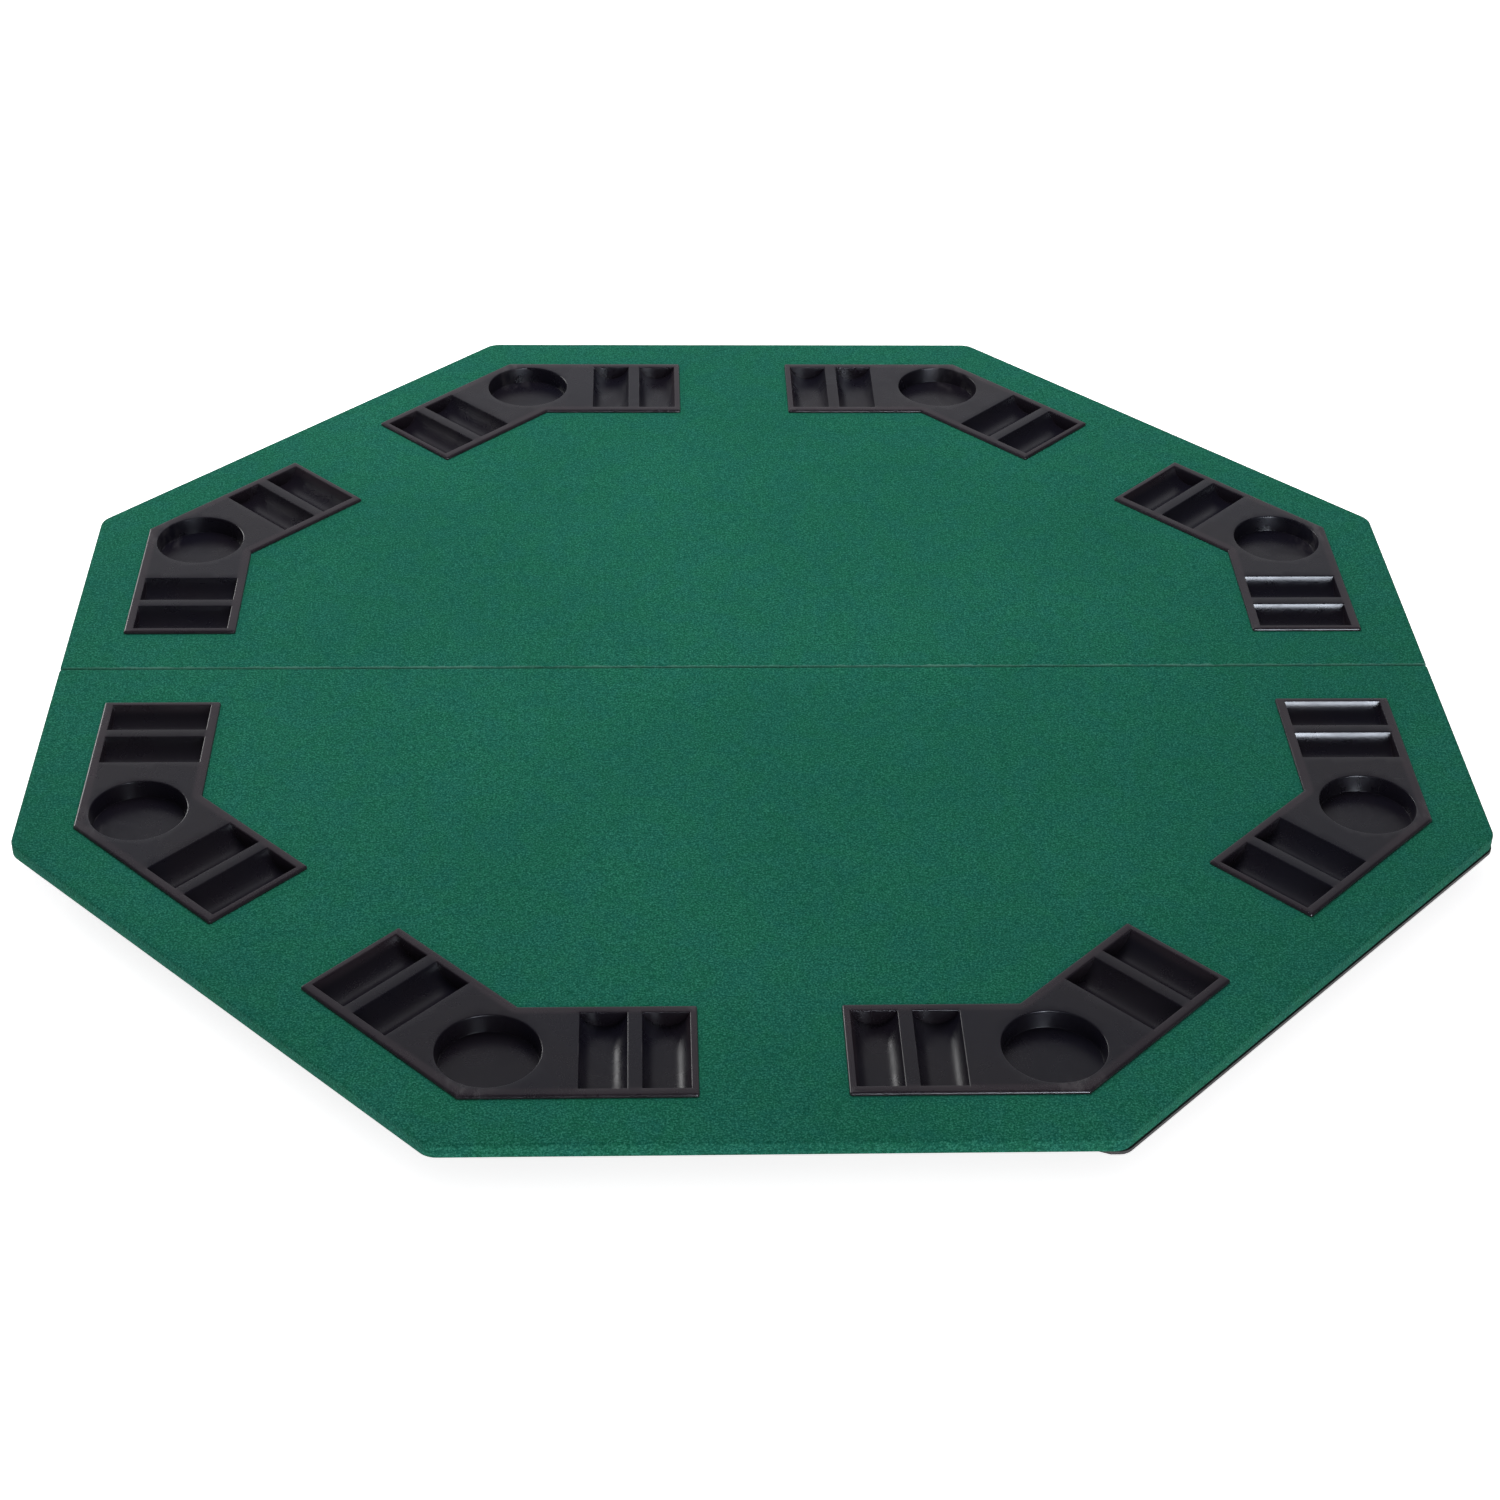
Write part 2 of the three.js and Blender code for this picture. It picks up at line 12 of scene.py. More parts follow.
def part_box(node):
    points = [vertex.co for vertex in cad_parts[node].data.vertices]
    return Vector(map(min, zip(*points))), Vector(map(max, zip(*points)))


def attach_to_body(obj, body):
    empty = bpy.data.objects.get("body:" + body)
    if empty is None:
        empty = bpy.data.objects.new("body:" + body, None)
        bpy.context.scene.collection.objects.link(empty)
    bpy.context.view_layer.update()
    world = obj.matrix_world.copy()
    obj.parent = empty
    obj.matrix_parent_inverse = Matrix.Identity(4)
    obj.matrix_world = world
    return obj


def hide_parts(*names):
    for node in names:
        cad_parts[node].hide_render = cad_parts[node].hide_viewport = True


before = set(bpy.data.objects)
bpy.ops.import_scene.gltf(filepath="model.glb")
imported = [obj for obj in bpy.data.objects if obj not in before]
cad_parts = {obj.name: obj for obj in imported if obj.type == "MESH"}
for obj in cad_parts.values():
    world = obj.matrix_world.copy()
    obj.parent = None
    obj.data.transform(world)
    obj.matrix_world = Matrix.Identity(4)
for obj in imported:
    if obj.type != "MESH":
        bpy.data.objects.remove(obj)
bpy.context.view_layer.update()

MM = 0.001
HALF_CORNER = math.pi / 8

# ---- Sizes that the frame gives ----

FELT_LOW, FELT_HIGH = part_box("felt_cover_rear")
TRAY_LOW, TRAY_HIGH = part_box("tray_rear_right")
BOARD_LOW, BOARD_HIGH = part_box("board_rear")
PAD_LOW, PAD_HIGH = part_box("foam_pad_rear")
BACKING_LOW, BACKING_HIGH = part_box("backing_panel_rear")
FOOT_LOW, FOOT_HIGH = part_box("rubber_foot_rear_1")
HOOK_LOW, HOOK_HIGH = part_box("hook_right")

APOTHEM = FELT_HIGH.x
SEAM_Y = FELT_LOW.y
FELT_TOP = FELT_HIGH.z
FELT_BOTTOM = FELT_LOW.z
TRAY_TOP = TRAY_HIGH.z
UNDERSIDE = BACKING_LOW.z

# ---- Sizes of the fine surface ----

CORNER_RADIUS = 18 * MM
SEAM_CORNER_RADIUS = 3 * MM
FELT_THICKNESS = 0.9 * MM
EDGE_ROLL = 2.5 * MM
BOTTOM_ROLL = 1.2 * MM
LIP_WIDTH = 10 * MM
PRESS = 0.45 * MM  # how far a tray's flange presses the padding down
BED_WAVE = 0.1 * MM
SHEET_SPACING = 8 * MM

TRAY_INSET = 48.3 * MM
TRAY_WIDTH = 100 * MM
TRAY_LENGTH = 177.5 * MM
TRAY_BEARING = 3.4 * MM
TRAY_SKIN = 1.0 * MM
TRAY_LIP = 1.1 * MM
FLANK = 1.7 * MM
CUP_RADIUS = 40.25 * MM
CUP_DEPTH = 15.5 * MM
CUP_DRAFT = 1.5 * MM
CUP_FILLET = 0.7 * MM
TROUGH_RADIUS = 19.1 * MM
TROUGH_DEPTH = 13.6 * MM
TROUGH_LENGTH = 84 * MM
TROUGH_END_BORDER = 5.4 * MM
TROUGH_DIVIDER = 10.8 * MM
CUP_PLACE = (APOTHEM - TRAY_INSET - TRAY_WIDTH / 2) / math.cos(HALF_CORNER)
TRAY_CORNER = (APOTHEM - TRAY_INSET) / math.cos(HALF_CORNER)

HINGE_THICKNESS = 1.5 * MM
KNUCKLE_RADIUS = 2.9 * MM
PIN_RADIUS = 1.5 * MM
PIN_DROP = 4.2 * MM
SCREW_HEAD_RADIUS = 3 * MM

SHARP_ANGLE = math.radians(34)
LEAVES = {"rear": 0.0, "front": math.pi}  # turn of each leaf about Z
TRAY_CORNERS = {
    "tray_right_rear": 1, "tray_rear_right": 3, "tray_rear_left": 5, "tray_left_rear": 7,
    "tray_left_front": 9, "tray_front_left": 11, "tray_front_right": 13, "tray_right_front": 15,
}


# ---- Outlines ----

def round_outline(corners, counts, arc_steps):
    """Points along a closed polygon, anticlockwise, whose corners [x, y, radius] are rounded. counts gives the
    steps along the straight that follows each corner, so that parallel outlines match point for point."""
    arcs = []
    total = len(corners)
    for i, (x, y, radius) in enumerate(corners):
        here = Vector((x, y))
        before = (Vector(corners[i - 1][:2]) - here).normalized()
        after = (Vector(corners[(i + 1) % total][:2]) - here).normalized()
        half = math.acos(max(-1.0, min(1.0, before.dot(after)))) / 2
        middle = here + (before + after).normalized() * (radius / math.sin(half))
        start_point = here + before * (radius / math.tan(half))
        start = math.atan2(start_point.y - middle.y, start_point.x - middle.x)
        turn = math.copysign(math.pi - 2 * half, before.y * after.x - before.x * after.y)
        arcs.append([
            middle + radius * Vector((math.cos(start + turn * k / arc_steps), math.sin(start + turn * k / arc_steps)))
            for k in range(arc_steps + 1)
        ])
    points = []
    for i, arc in enumerate(arcs):
        points.extend(arc)
        following = arcs[(i + 1) % total][0]
        for k in range(1, counts[i]):
            points.append(arc[-1].lerp(following, k / counts[i]))
    return points


def leaf_outline(inset, seam_inset):
    """The leaf on +Y, drawn in by inset from its outer edges and by seam_inset from the fold."""
    edge = APOTHEM - inset
    corner = edge * math.tan(HALF_CORNER)
    radius = max(CORNER_RADIUS - inset, 2 * MM)
    seam_radius = max(SEAM_CORNER_RADIUS - inset, 0.3 * MM)
    seam = SEAM_Y + seam_inset
    corners = [
        (edge, seam, seam_radius), (edge, corner, radius), (corner, edge, radius),
        (-corner, edge, radius), (-edge, corner, radius), (-edge, seam, seam_radius),
    ]
    return round_outline(corners, LEAF_COUNTS, LEAF_ARC_STEPS)


LEAF_ARC_STEPS = 6
LEAF_COUNTS = [36, 72, 72, 72, 36, 200]


def tray_outline(inset, radius=2 * MM):
    """The chevron outline of a tray whose corner is on +Y, drawn in by inset. radius is its corners' at inset 0."""
    cos, sin, tan = math.cos(HALF_CORNER), math.sin(HALF_CORNER), math.tan(HALF_CORNER)
    outer = (APOTHEM - TRAY_INSET - inset) / cos
    inner = (APOTHEM - TRAY_INSET - TRAY_WIDTH + inset) / cos
    outer_length = TRAY_LENGTH - inset - inset * tan
    inner_length = outer_length - (TRAY_WIDTH - 2 * inset) * tan

    convex = max(radius - inset, 0.25 * MM)

    def end(start, length, side):
        return (side * length * cos, start - length * sin, convex)

    corners = [
        (0, outer, convex), end(outer, outer_length, -1), end(inner, inner_length, -1),
        (0, inner, radius + inset), end(inner, inner_length, 1), end(outer, outer_length, 1),
    ]
    return round_outline(corners, TRAY_COUNTS, TRAY_ARC_STEPS)


TRAY_ARC_STEPS = 5
TRAY_COUNTS = [26, 14, 20, 20, 14, 26]


def inside(points, polygon):
    """Which of the points (an N by 2 array) lie inside the polygon (an M by 2 array)."""
    x, y = points[:, 0], points[:, 1]
    found = np.zeros(len(points), bool)
    px, py = polygon[:, 0], polygon[:, 1]
    qx, qy = np.roll(px, 1), np.roll(py, 1)
    for ax, ay, bx, by in zip(px, py, qx, qy):
        crosses = (ay > y) != (by > y)
        with np.errstate(divide="ignore", invalid="ignore"):
            at = (bx - ax) * (y - ay) / (by - ay) + ax
        found ^= crosses & (x < at)
    return found


def distance_to(points, polygon):
    """Shortest distance from each point to the polygon's outline."""
    best = np.full(len(points), np.inf)
    for a, b in zip(polygon, np.roll(polygon, -1, axis=0)):
        run = b - a
        length = max(float(run @ run), 1e-18)
        t = np.clip((points - a) @ run / length, 0, 1)
        best = np.minimum(best, np.hypot(*(points - a - t[:, None] * run).T))
    return best


def fill(boundary, holes, spacing, lines=()):
    """A flat triangle sheet inside a boundary and outside the holes, with edges along the lines. Returns its
    points and triangles. The boundary's points come first, then each hole's and each line's, in order."""
    loops = [np.array([tuple(p)[:2] for p in loop]) for loop in [boundary, *holes, *lines]]
    openings = loops[1:1 + len(holes)]
    low, high = loops[0].min(0), loops[0].max(0)
    rows = np.arange(low[1], high[1], spacing * math.sqrt(3) / 2)
    lattice = []
    for i, y in enumerate(rows):
        xs = np.arange(low[0] + (i % 2) * spacing / 2, high[0], spacing)
        lattice.append(np.stack([xs, np.full_like(xs, y)], 1))
    lattice = np.concatenate(lattice)
    keep = inside(lattice, loops[0])
    for hole in openings:
        keep &= ~inside(lattice, hole)
    lattice = lattice[keep]
    for loop in loops:
        lattice = lattice[distance_to(lattice, loop) > spacing * 0.5]
    points = [Vector(p) for p in np.concatenate([*loops, lattice])]
    edges = []
    start = 0
    for loop in loops:
        count = len(loop)
        edges += [(start + k, start + (k + 1) % count) for k in range(count)]
        start += count
    out_points, _, faces, *_ = delaunay_2d_cdt(points, edges, [], 1, 1e-7)
    out = np.array([tuple(p) for p in out_points])
    faces = np.array([f for f in faces if len(f) == 3])
    middles = out[faces].mean(1)
    kept = inside(middles, loops[0])
    for hole in openings:
        kept &= ~inside(middles, hole)
    if len(out) != len(points) or not np.allclose(out, np.array([tuple(p) for p in points])):
        raise ValueError("the sheet's outlines cross or touch")
    return out, [tuple(int(i) for i in f) for f in faces[kept]]


# ---- Meshes ----

class Builder:
    """Collects vertices and faces for one mesh."""

    def __init__(self):
        self.points = []
        self.faces = []

    def add(self, points):
        start = len(self.points)
        self.points += [tuple(p) for p in points]
        return list(range(start, start + len(points)))

    def strip(self, first, second, closed=True):
        """Quads between two rows of the same length."""
        count = len(first)
        for k in range(count if closed else count - 1):
            j = (k + 1) % count
            self.faces.append((first[k], second[k], second[j], first[j]))

    def mesh(self, name):
        made = bpy.data.meshes.new(name)
        made.from_pydata(self.points, [], self.faces)
        made.validate()
        made.update()
        return made


def link(name, mesh):
    made = bpy.data.objects.new(name, mesh)
    bpy.context.scene.collection.objects.link(made)
    return made


def smooth(mesh, angle=SHARP_ANGLE):
    mesh.polygons.foreach_set("use_smooth", [True] * len(mesh.polygons))
    mesh.set_sharp_from_angle(angle=angle)


def apply_modifiers(piece):
    """Replaces a piece's mesh with the result of its modifiers."""
    graph = bpy.context.evaluated_depsgraph_get()
    result = bpy.data.meshes.new_from_object(piece.evaluated_get(graph))
    result.name = piece.name
    piece.modifiers.clear()
    piece.data = result
    return piece


def boolean(piece, other, operation):
    """Joins or cuts a piece with another, which is then removed."""
    modifier = piece.modifiers.new("shape", "BOOLEAN")
    modifier.operation = operation
    modifier.solver = "EXACT"
    modifier.object = other
    bpy.context.view_layer.update()
    apply_modifiers(piece)
    bpy.data.objects.remove(other)
    return piece


def bevel(piece, width, segments=2, angle=math.radians(30)):
    modifier = piece.modifiers.new("bevel", "BEVEL")
    modifier.width = width
    modifier.segments = segments
    modifier.limit_method = "ANGLE"
    modifier.angle_limit = angle
    modifier.harden_normals = False
    return piece


def turned(name, profile, segments):
    """A solid turned about Z from (radius, height) points that start and end on the axis."""
    build = Builder()
    rows = []
    for radius, height in profile:
        if radius < 1e-9:
            rows.append(build.add([(0, 0, height)]))
        else:
            rows.append(build.add([
                (radius * math.cos(2 * math.pi * k / segments), radius * math.sin(2 * math.pi * k / segments), height)
                for k in range(segments)
            ]))
    for low, high in zip(rows, rows[1:]):
        for k in range(segments):
            j = (k + 1) % segments
            if len(low) == 1 and len(high) > 1:
                build.faces.append((low[0], high[j], high[k]))
            elif len(high) == 1 and len(low) > 1:
                build.faces.append((low[k], low[j], high[0]))
            elif len(low) > 1:
                build.faces.append((low[k], low[j], high[j], high[k]))
    return link(name, build.mesh(name))


def arc(centre, radius, start, end, steps):
    """(radius, height) points round a fillet; angles in degrees."""
    return [
        (centre[0] + radius * math.cos(math.radians(start + (end - start) * k / steps)),
         centre[1] + radius * math.sin(math.radians(start + (end - start) * k / steps)))
        for k in range(steps + 1)
    ]


def prism(name, outline, bottom, top):
    """A plan outline raised between two heights."""
    build = Builder()
    low = build.add([(x, y, bottom) for x, y, *_ in outline])
    high = build.add([(x, y, top) for x, y, *_ in outline])
    build.strip(high, low)
    build.faces.append(tuple(high))
    build.faces.append(tuple(reversed(low)))
    return link(name, build.mesh(name))


def cylinder_x(name, radius, start, end, height, segments=40):
    """A cylinder lying along X at a height."""
    piece = turned(name, [(0, start), (radius, start), (radius, end), (0, end)], segments)
    piece.data.transform(Matrix.Translation((0, 0, height)) @ Matrix.Rotation(math.pi / 2, 4, "Y"))
    return piece


def attach(piece, body, nodes, material):
    """Finishes a piece: its look, the body it rides on and the CAD nodes it stands for."""
    piece.data.materials.clear()
    piece.data.materials.append(material)
    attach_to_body(piece, body)
    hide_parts(*nodes)
    return piece



def face_up(mesh, sample):
    """Turns the faces of an open sheet to one side, so that the sample face looks up."""
    work = bmesh.new()
    work.from_mesh(mesh)
    bmesh.ops.recalc_face_normals(work, faces=work.faces)
    work.faces.ensure_lookup_table()
    if work.faces[sample].normal.z < 0:
        bmesh.ops.reverse_faces(work, faces=work.faces)
    work.to_mesh(mesh)
    work.free()


def thicken(piece, thickness):
    """Gives a sheet its thickness on the side away from its normals."""
    modifier = piece.modifiers.new("thickness", "SOLIDIFY")
    modifier.thickness = thickness
    modifier.offset = -1
    modifier.use_even_offset = True
    return piece


# ---- The padded leaf ----

TRAY_TURNS = [k * HALF_CORNER - math.pi / 2 for k in (1, 3, 5, 7)]  # trays of the leaf on +Y


def turned_loop(loop, angle):
    turn = Matrix.Rotation(angle, 2)
    return [turn @ Vector(tuple(p)[:2]) for p in loop]


def tray_loops(inset):
    return [turned_loop(tray_outline(inset), angle) for angle in TRAY_TURNS]


def cup_loops(radius, segments=72):
    loops = []
    for angle in TRAY_TURNS:
        middle = Matrix.Rotation(angle, 2) @ Vector((0, CUP_PLACE))
        loops.append([
            middle + radius * Vector((math.cos(2 * math.pi * k / segments), math.sin(2 * math.pi * k / segments)))
            for k in range(segments)
        ])
    return loops


def wrapped_sheet(name, profile, opening_inset, lines=()):
    """A sheet over the leaf on +Y that turns down over its edges. profile holds (inset, height) from the top's
    edge outwards and down."""
    build = Builder()
    rings = [build.add([(p.x, p.y, height) for p in leaf_outline(inset, inset)]) for inset, height in profile]
    boundary = leaf_outline(profile[0][0], profile[0][0])
    points, faces = fill(boundary, tray_loops(opening_inset), SHEET_SPACING, lines)
    rest = build.add([(x, y, profile[0][1]) for x, y in points[len(boundary):]])
    index = rings[0] + rest
    build.faces += [tuple(index[i] for i in face) for face in faces]
    for upper, lower in zip(rings, rings[1:]):
        build.strip(upper, lower)
    mesh = build.mesh(name)
    face_up(mesh, 0)
    return link(name, mesh), len(boundary), len(rings) * len(boundary)


def roll_profile(inset, top, bottom, roll, steps, bottom_roll=0.0, lip=0.0):
    """(inset, height) points over a rolled edge, down the side and, with a lip, back under."""
    points = []
    for k in range(steps + 1):
        angle = math.pi / 2 * k / steps
        points.append((inset + roll * (1 - math.sin(angle)), top - roll * (1 - math.cos(angle))))
    points.append((inset, (top - roll + bottom + bottom_roll) / 2))
    for k in range(4 if bottom_roll else 1):
        angle = math.pi / 2 * k / 3
        points.append((inset + bottom_roll * (1 - math.cos(angle)), bottom + bottom_roll * (1 - math.sin(angle))))
    if lip:
        points += [(inset + lip * 0.55, bottom), (inset + lip, bottom)]
    return points


def relief(x, y, z=0.0):
    """The slow unevenness of padding under cloth, from -1 to 1."""
    broad = noise.noise(Vector((x * 14, y * 14, 3.1 + z)))
    fine = noise.noise(Vector((x * 42, y * 42, 7.7 + z)))
    return 0.7 * broad + 0.3 * fine


def settle(piece, ring_points):
    """Presses the felt under the trays' flanges and lets it settle on the foam as cloth on a soft bed."""
    mesh = piece.data
    count = len(mesh.vertices)
    where = np.empty(count * 3)
    mesh.vertices.foreach_get("co", where)
    where = where.reshape(-1, 3)
    free = np.arange(count) >= ring_points
    away = np.full(count, 1.0)
    under = np.zeros(count, bool)
    for loop in tray_loops(0.0):
        polygon = np.array([tuple(p) for p in loop])
        near = free & (np.abs(where[:, :2] - polygon.mean(0)).max(1) < 0.22)
        away[near] = np.minimum(away[near], distance_to(where[near, :2], polygon))
        under[near] |= inside(where[near, :2], polygon)
    pressed = free & (under | (away < 1.2 * MM))
    where[pressed, 2] = FELT_TOP - PRESS
    soft = free & ~pressed
    for i in np.flatnonzero(soft):
        where[i, 2] -= BED_WAVE * (1 + relief(where[i, 0], where[i, 1], 2.0))
    mesh.vertices.foreach_set("co", where.ravel())
    held = piece.vertex_groups.new(name="held")
    held.add([int(i) for i in np.flatnonzero(pressed | ~free)], 1.0, "REPLACE")
    # Glued to the foam, the open felt is held like cloth on a soft bed.
    held.add([int(i) for i in np.flatnonzero(soft)], 0.4, "REPLACE")
    modifier = piece.modifiers.new("cloth", "CLOTH")
    cloth = modifier.settings
    cloth.quality = 6
    cloth.mass = 0.05
    cloth.tension_stiffness = 12
    cloth.compression_stiffness = 8
    cloth.shear_stiffness = 5
    cloth.bending_stiffness = 0.6
    cloth.vertex_group_mass = "held"
    cloth.pin_stiffness = 1.0
    cloth.effector_weights.gravity = 0.2
    modifier.collision_settings.use_collision = False
    modifier.point_cache.frame_start = 1
    modifier.point_cache.frame_end = SETTLE_FRAMES
    scene = bpy.context.scene
    for frame_number in range(1, SETTLE_FRAMES + 1):
        scene.frame_set(frame_number)
    apply_modifiers(piece)
    scene.frame_set(1)
    mesh = piece.data
    where = np.array([v.co for v in mesh.vertices])
    where[free, 2] = np.clip(where[free, 2], FELT_TOP - PRESS - 0.1 * MM, FELT_TOP + 0.1 * MM)
    mesh.vertices.foreach_set("co", where.ravel())


SETTLE_FRAMES = 24


def make_leaf_cloth():
    """The felt covers of both leaves. The front one is the same cloth turned half a turn."""
    profile = roll_profile(0, FELT_TOP, FELT_BOTTOM, EDGE_ROLL, 5, BOTTOM_ROLL, LIP_WIDTH - BOTTOM_ROLL)
    lines = tray_loops(-1.0 * MM) + tray_loops(1.2 * MM)
    piece, _, ring_points = wrapped_sheet("felt_rear_cloth", profile, 3.0 * MM, lines)
    settle(piece, ring_points)
    mesh = piece.data
    made = []
    for place, angle in LEAVES.items():
        own = mesh.copy()
        own.transform(Matrix.Rotation(angle, 4, "Z"))
        for vertex in own.vertices:
            x, y, z = vertex.co
            depth = min(max((z - FELT_BOTTOM) / (FELT_TOP - FELT_BOTTOM), 0.0), 1.0)
            if depth > 0.9:
                vertex.co.z -= 0.16 * MM * (1 + relief(x, y)) * (depth - 0.9) / 0.1
            # The folded edge at the seam isn't quite straight.
            reach = max(0.0, 1 - abs(y) / (9 * MM))
            if reach:
                wave = 0.5 + 0.5 * noise.noise(Vector((x * 22, 5.0 * (angle + 1), 0.4)))
                vertex.co.y += math.copysign(0.55 * MM * wave * reach * depth, y)
        cover = link(f"felt_cover_{place}_cloth", own)
        thicken(cover, FELT_THICKNESS)
        made.append(cover)
    bpy.data.objects.remove(piece)
    return made


def make_foam():
    made = []
    inset = 1.7 * MM
    profile = roll_profile(inset, PAD_HIGH.z, PAD_LOW.z, EDGE_ROLL - inset, 3)
    piece, *_ = wrapped_sheet("foam_rear", profile, 3.9 * MM)
    for place, angle in LEAVES.items():
        own = piece.data.copy()
        own.transform(Matrix.Rotation(angle, 4, "Z"))
        pad = link(f"foam_pad_{place}_sheet", own)
        thicken(pad, PAD_HIGH.z - PAD_LOW.z - 0.1 * MM)
        made.append(pad)
    bpy.data.objects.remove(piece)
    return made


def make_panel(name, inset, seam_inset, holes, top, thickness, ease):
    """A flat board of the leaf on +Y with through holes, and its twin on the other leaf."""
    boundary = leaf_outline(inset, seam_inset)
    points, faces = fill(boundary, holes, 40 * MM)
    build = Builder()
    build.add([(x, y, top) for x, y in points])
    build.faces += faces
    mesh = build.mesh(name)
    face_up(mesh, 0)
    made = []
    for place, angle in LEAVES.items():
        own = mesh.copy()
        own.transform(Matrix.Rotation(angle, 4, "Z"))
        panel = link(f"{name}_{place}_panel", own)
        thicken(panel, thickness)
        bevel(panel, ease)
        made.append(panel)
    return made


def widen(panel, angle, step):
    """Moves one edge of a panel outwards."""
    out = Vector((math.cos(angle), math.sin(angle), 0))
    limit = max(vertex.co.dot(out) for vertex in panel.data.vertices) - 12 * MM
    for vertex in panel.data.vertices:
        if vertex.co.dot(out) > limit:
            vertex.co += out * step


# ---- The tray ----

def cup_profile():
    """(radius, height above the plate) from the plate's rim to the middle of the well's floor."""
    draft = math.atan(CUP_DRAFT / CUP_DEPTH)
    points = []
    rim = CUP_RADIUS - TRAY_LIP * math.tan(draft) + TRAY_LIP / math.cos(draft)
    for k in range(6):
        angle = math.pi / 2 + (math.pi / 2 - draft) * k / 5
        points.append((rim + TRAY_LIP * math.cos(angle), -TRAY_LIP + TRAY_LIP * math.sin(angle)))
    foot_height = -CUP_DEPTH + CUP_FILLET
    foot = CUP_RADIUS + foot_height * math.tan(draft) - CUP_FILLET / math.cos(draft)
    for k in range(7):
        angle = -draft - (math.pi / 2 - draft) * k / 6
        points.append((foot + CUP_FILLET * math.cos(angle), foot_height + CUP_FILLET * math.sin(angle)))
    for share in (0.8, 0.55, 0.3, 0.12):
        points.append((foot * share, -CUP_DEPTH))
    return points


TROUGH_ACROSS = 24
TROUGH_ALONG = 20
AXIS_RISE = TROUGH_RADIUS - TROUGH_DEPTH
CUP_STEPS = 96


def trough_ring(depth):
    """Half width and half length of a trough's mouth at a depth below the plate, round its lip."""
    centre_x = math.sqrt((TROUGH_RADIUS + TRAY_LIP) ** 2 - (AXIS_RISE + TRAY_LIP) ** 2)
    touch = TRAY_LIP * (AXIS_RISE + TRAY_LIP) / (TROUGH_RADIUS + TRAY_LIP) - TRAY_LIP
    if -depth >= touch:
        half_width = centre_x - math.sqrt(max(TRAY_LIP ** 2 - (TRAY_LIP - depth) ** 2, 0.0))
    else:
        half_width = math.sqrt(TROUGH_RADIUS ** 2 - (AXIS_RISE + depth) ** 2)
    half_length = TROUGH_LENGTH / 2 + TRAY_LIP - math.sqrt(max(TRAY_LIP ** 2 - (TRAY_LIP - depth) ** 2, 0.0))
    return half_width, half_length


def trough_loops():
    """Rings of a trough's lip, each a list of (x, y, height), anticlockwise from its near left corner."""
    widest = math.acos((AXIS_RISE + TRAY_LIP) / TROUGH_RADIUS)
    shares = [math.sin(widest * (2 * m / TROUGH_ACROSS - 1)) / math.sin(widest) for m in range(TROUGH_ACROSS + 1)]
    rings = []
    for k in range(6):
        depth = TRAY_LIP * (1 - math.cos(math.pi / 2 * k / 5))
        width, length = trough_ring(depth)
        steps = [2 * i / TROUGH_ALONG - 1 for i in range(TROUGH_ALONG + 1)]
        ring = [(width * s, -length, -depth) for s in shares[:-1]]
        ring += [(width, length * s, -depth) for s in steps[:-1]]
        ring += [(-width * s, length, -depth) for s in shares[:-1]]
        ring += [(-width, -length * s, -depth) for s in steps[:-1]]
        rings.append(ring)
    return rings, widest


def trough_frame(side, along):
    """The matrix that places a trough in the tray's frame."""
    return (
        Matrix.Translation((0, (APOTHEM - TRAY_INSET) / math.cos(HALF_CORNER), TRAY_TOP))
        @ Matrix.Rotation(-side * HALF_CORNER, 4, "Z")
        @ Matrix.Translation((side * along, -TRAY_WIDTH / 2, 0))
    )


def add_trough(build, place, first_ring):
    """Adds a trough below its first ring, whose vertices are already there."""
    rings, widest = trough_loops()
    previous = first_ring
    for ring in rings[1:]:
        current = build.add([place @ Vector(p) for p in ring])
        build.strip(previous, current)
        previous = current
    half = TROUGH_LENGTH / 2
    right = previous[TROUGH_ACROSS:TROUGH_ACROSS + TROUGH_ALONG + 1]
    left = previous[2 * TROUGH_ACROSS + TROUGH_ALONG:] + previous[:1]
    left = left[::-1]
    near = previous[:TROUGH_ACROSS + 1]
    far = previous[TROUGH_ACROSS + TROUGH_ALONG:2 * TROUGH_ACROSS + TROUGH_ALONG + 1][::-1]
    rows = []
    for i in range(TROUGH_ALONG + 1):
        y = half * (2 * i / TROUGH_ALONG - 1)
        points = []
        for m in range(1, TROUGH_ACROSS):
            angle = widest * (2 * m / TROUGH_ACROSS - 1)
            points.append((TROUGH_RADIUS * math.sin(angle), y, AXIS_RISE - TROUGH_RADIUS * math.cos(angle)))
        rows.append([left[i], *build.add([place @ Vector(p) for p in points]), right[i]])
    for row, following in zip(rows, rows[1:]):
        build.strip(row, following, closed=False)
    for chord, row in ((near, rows[0]), (far, rows[-1])):
        for m in range(TROUGH_ACROSS):
            face = [chord[m], chord[m + 1], row[m + 1], row[m]]
            build.faces.append(tuple(dict.fromkeys(face)))


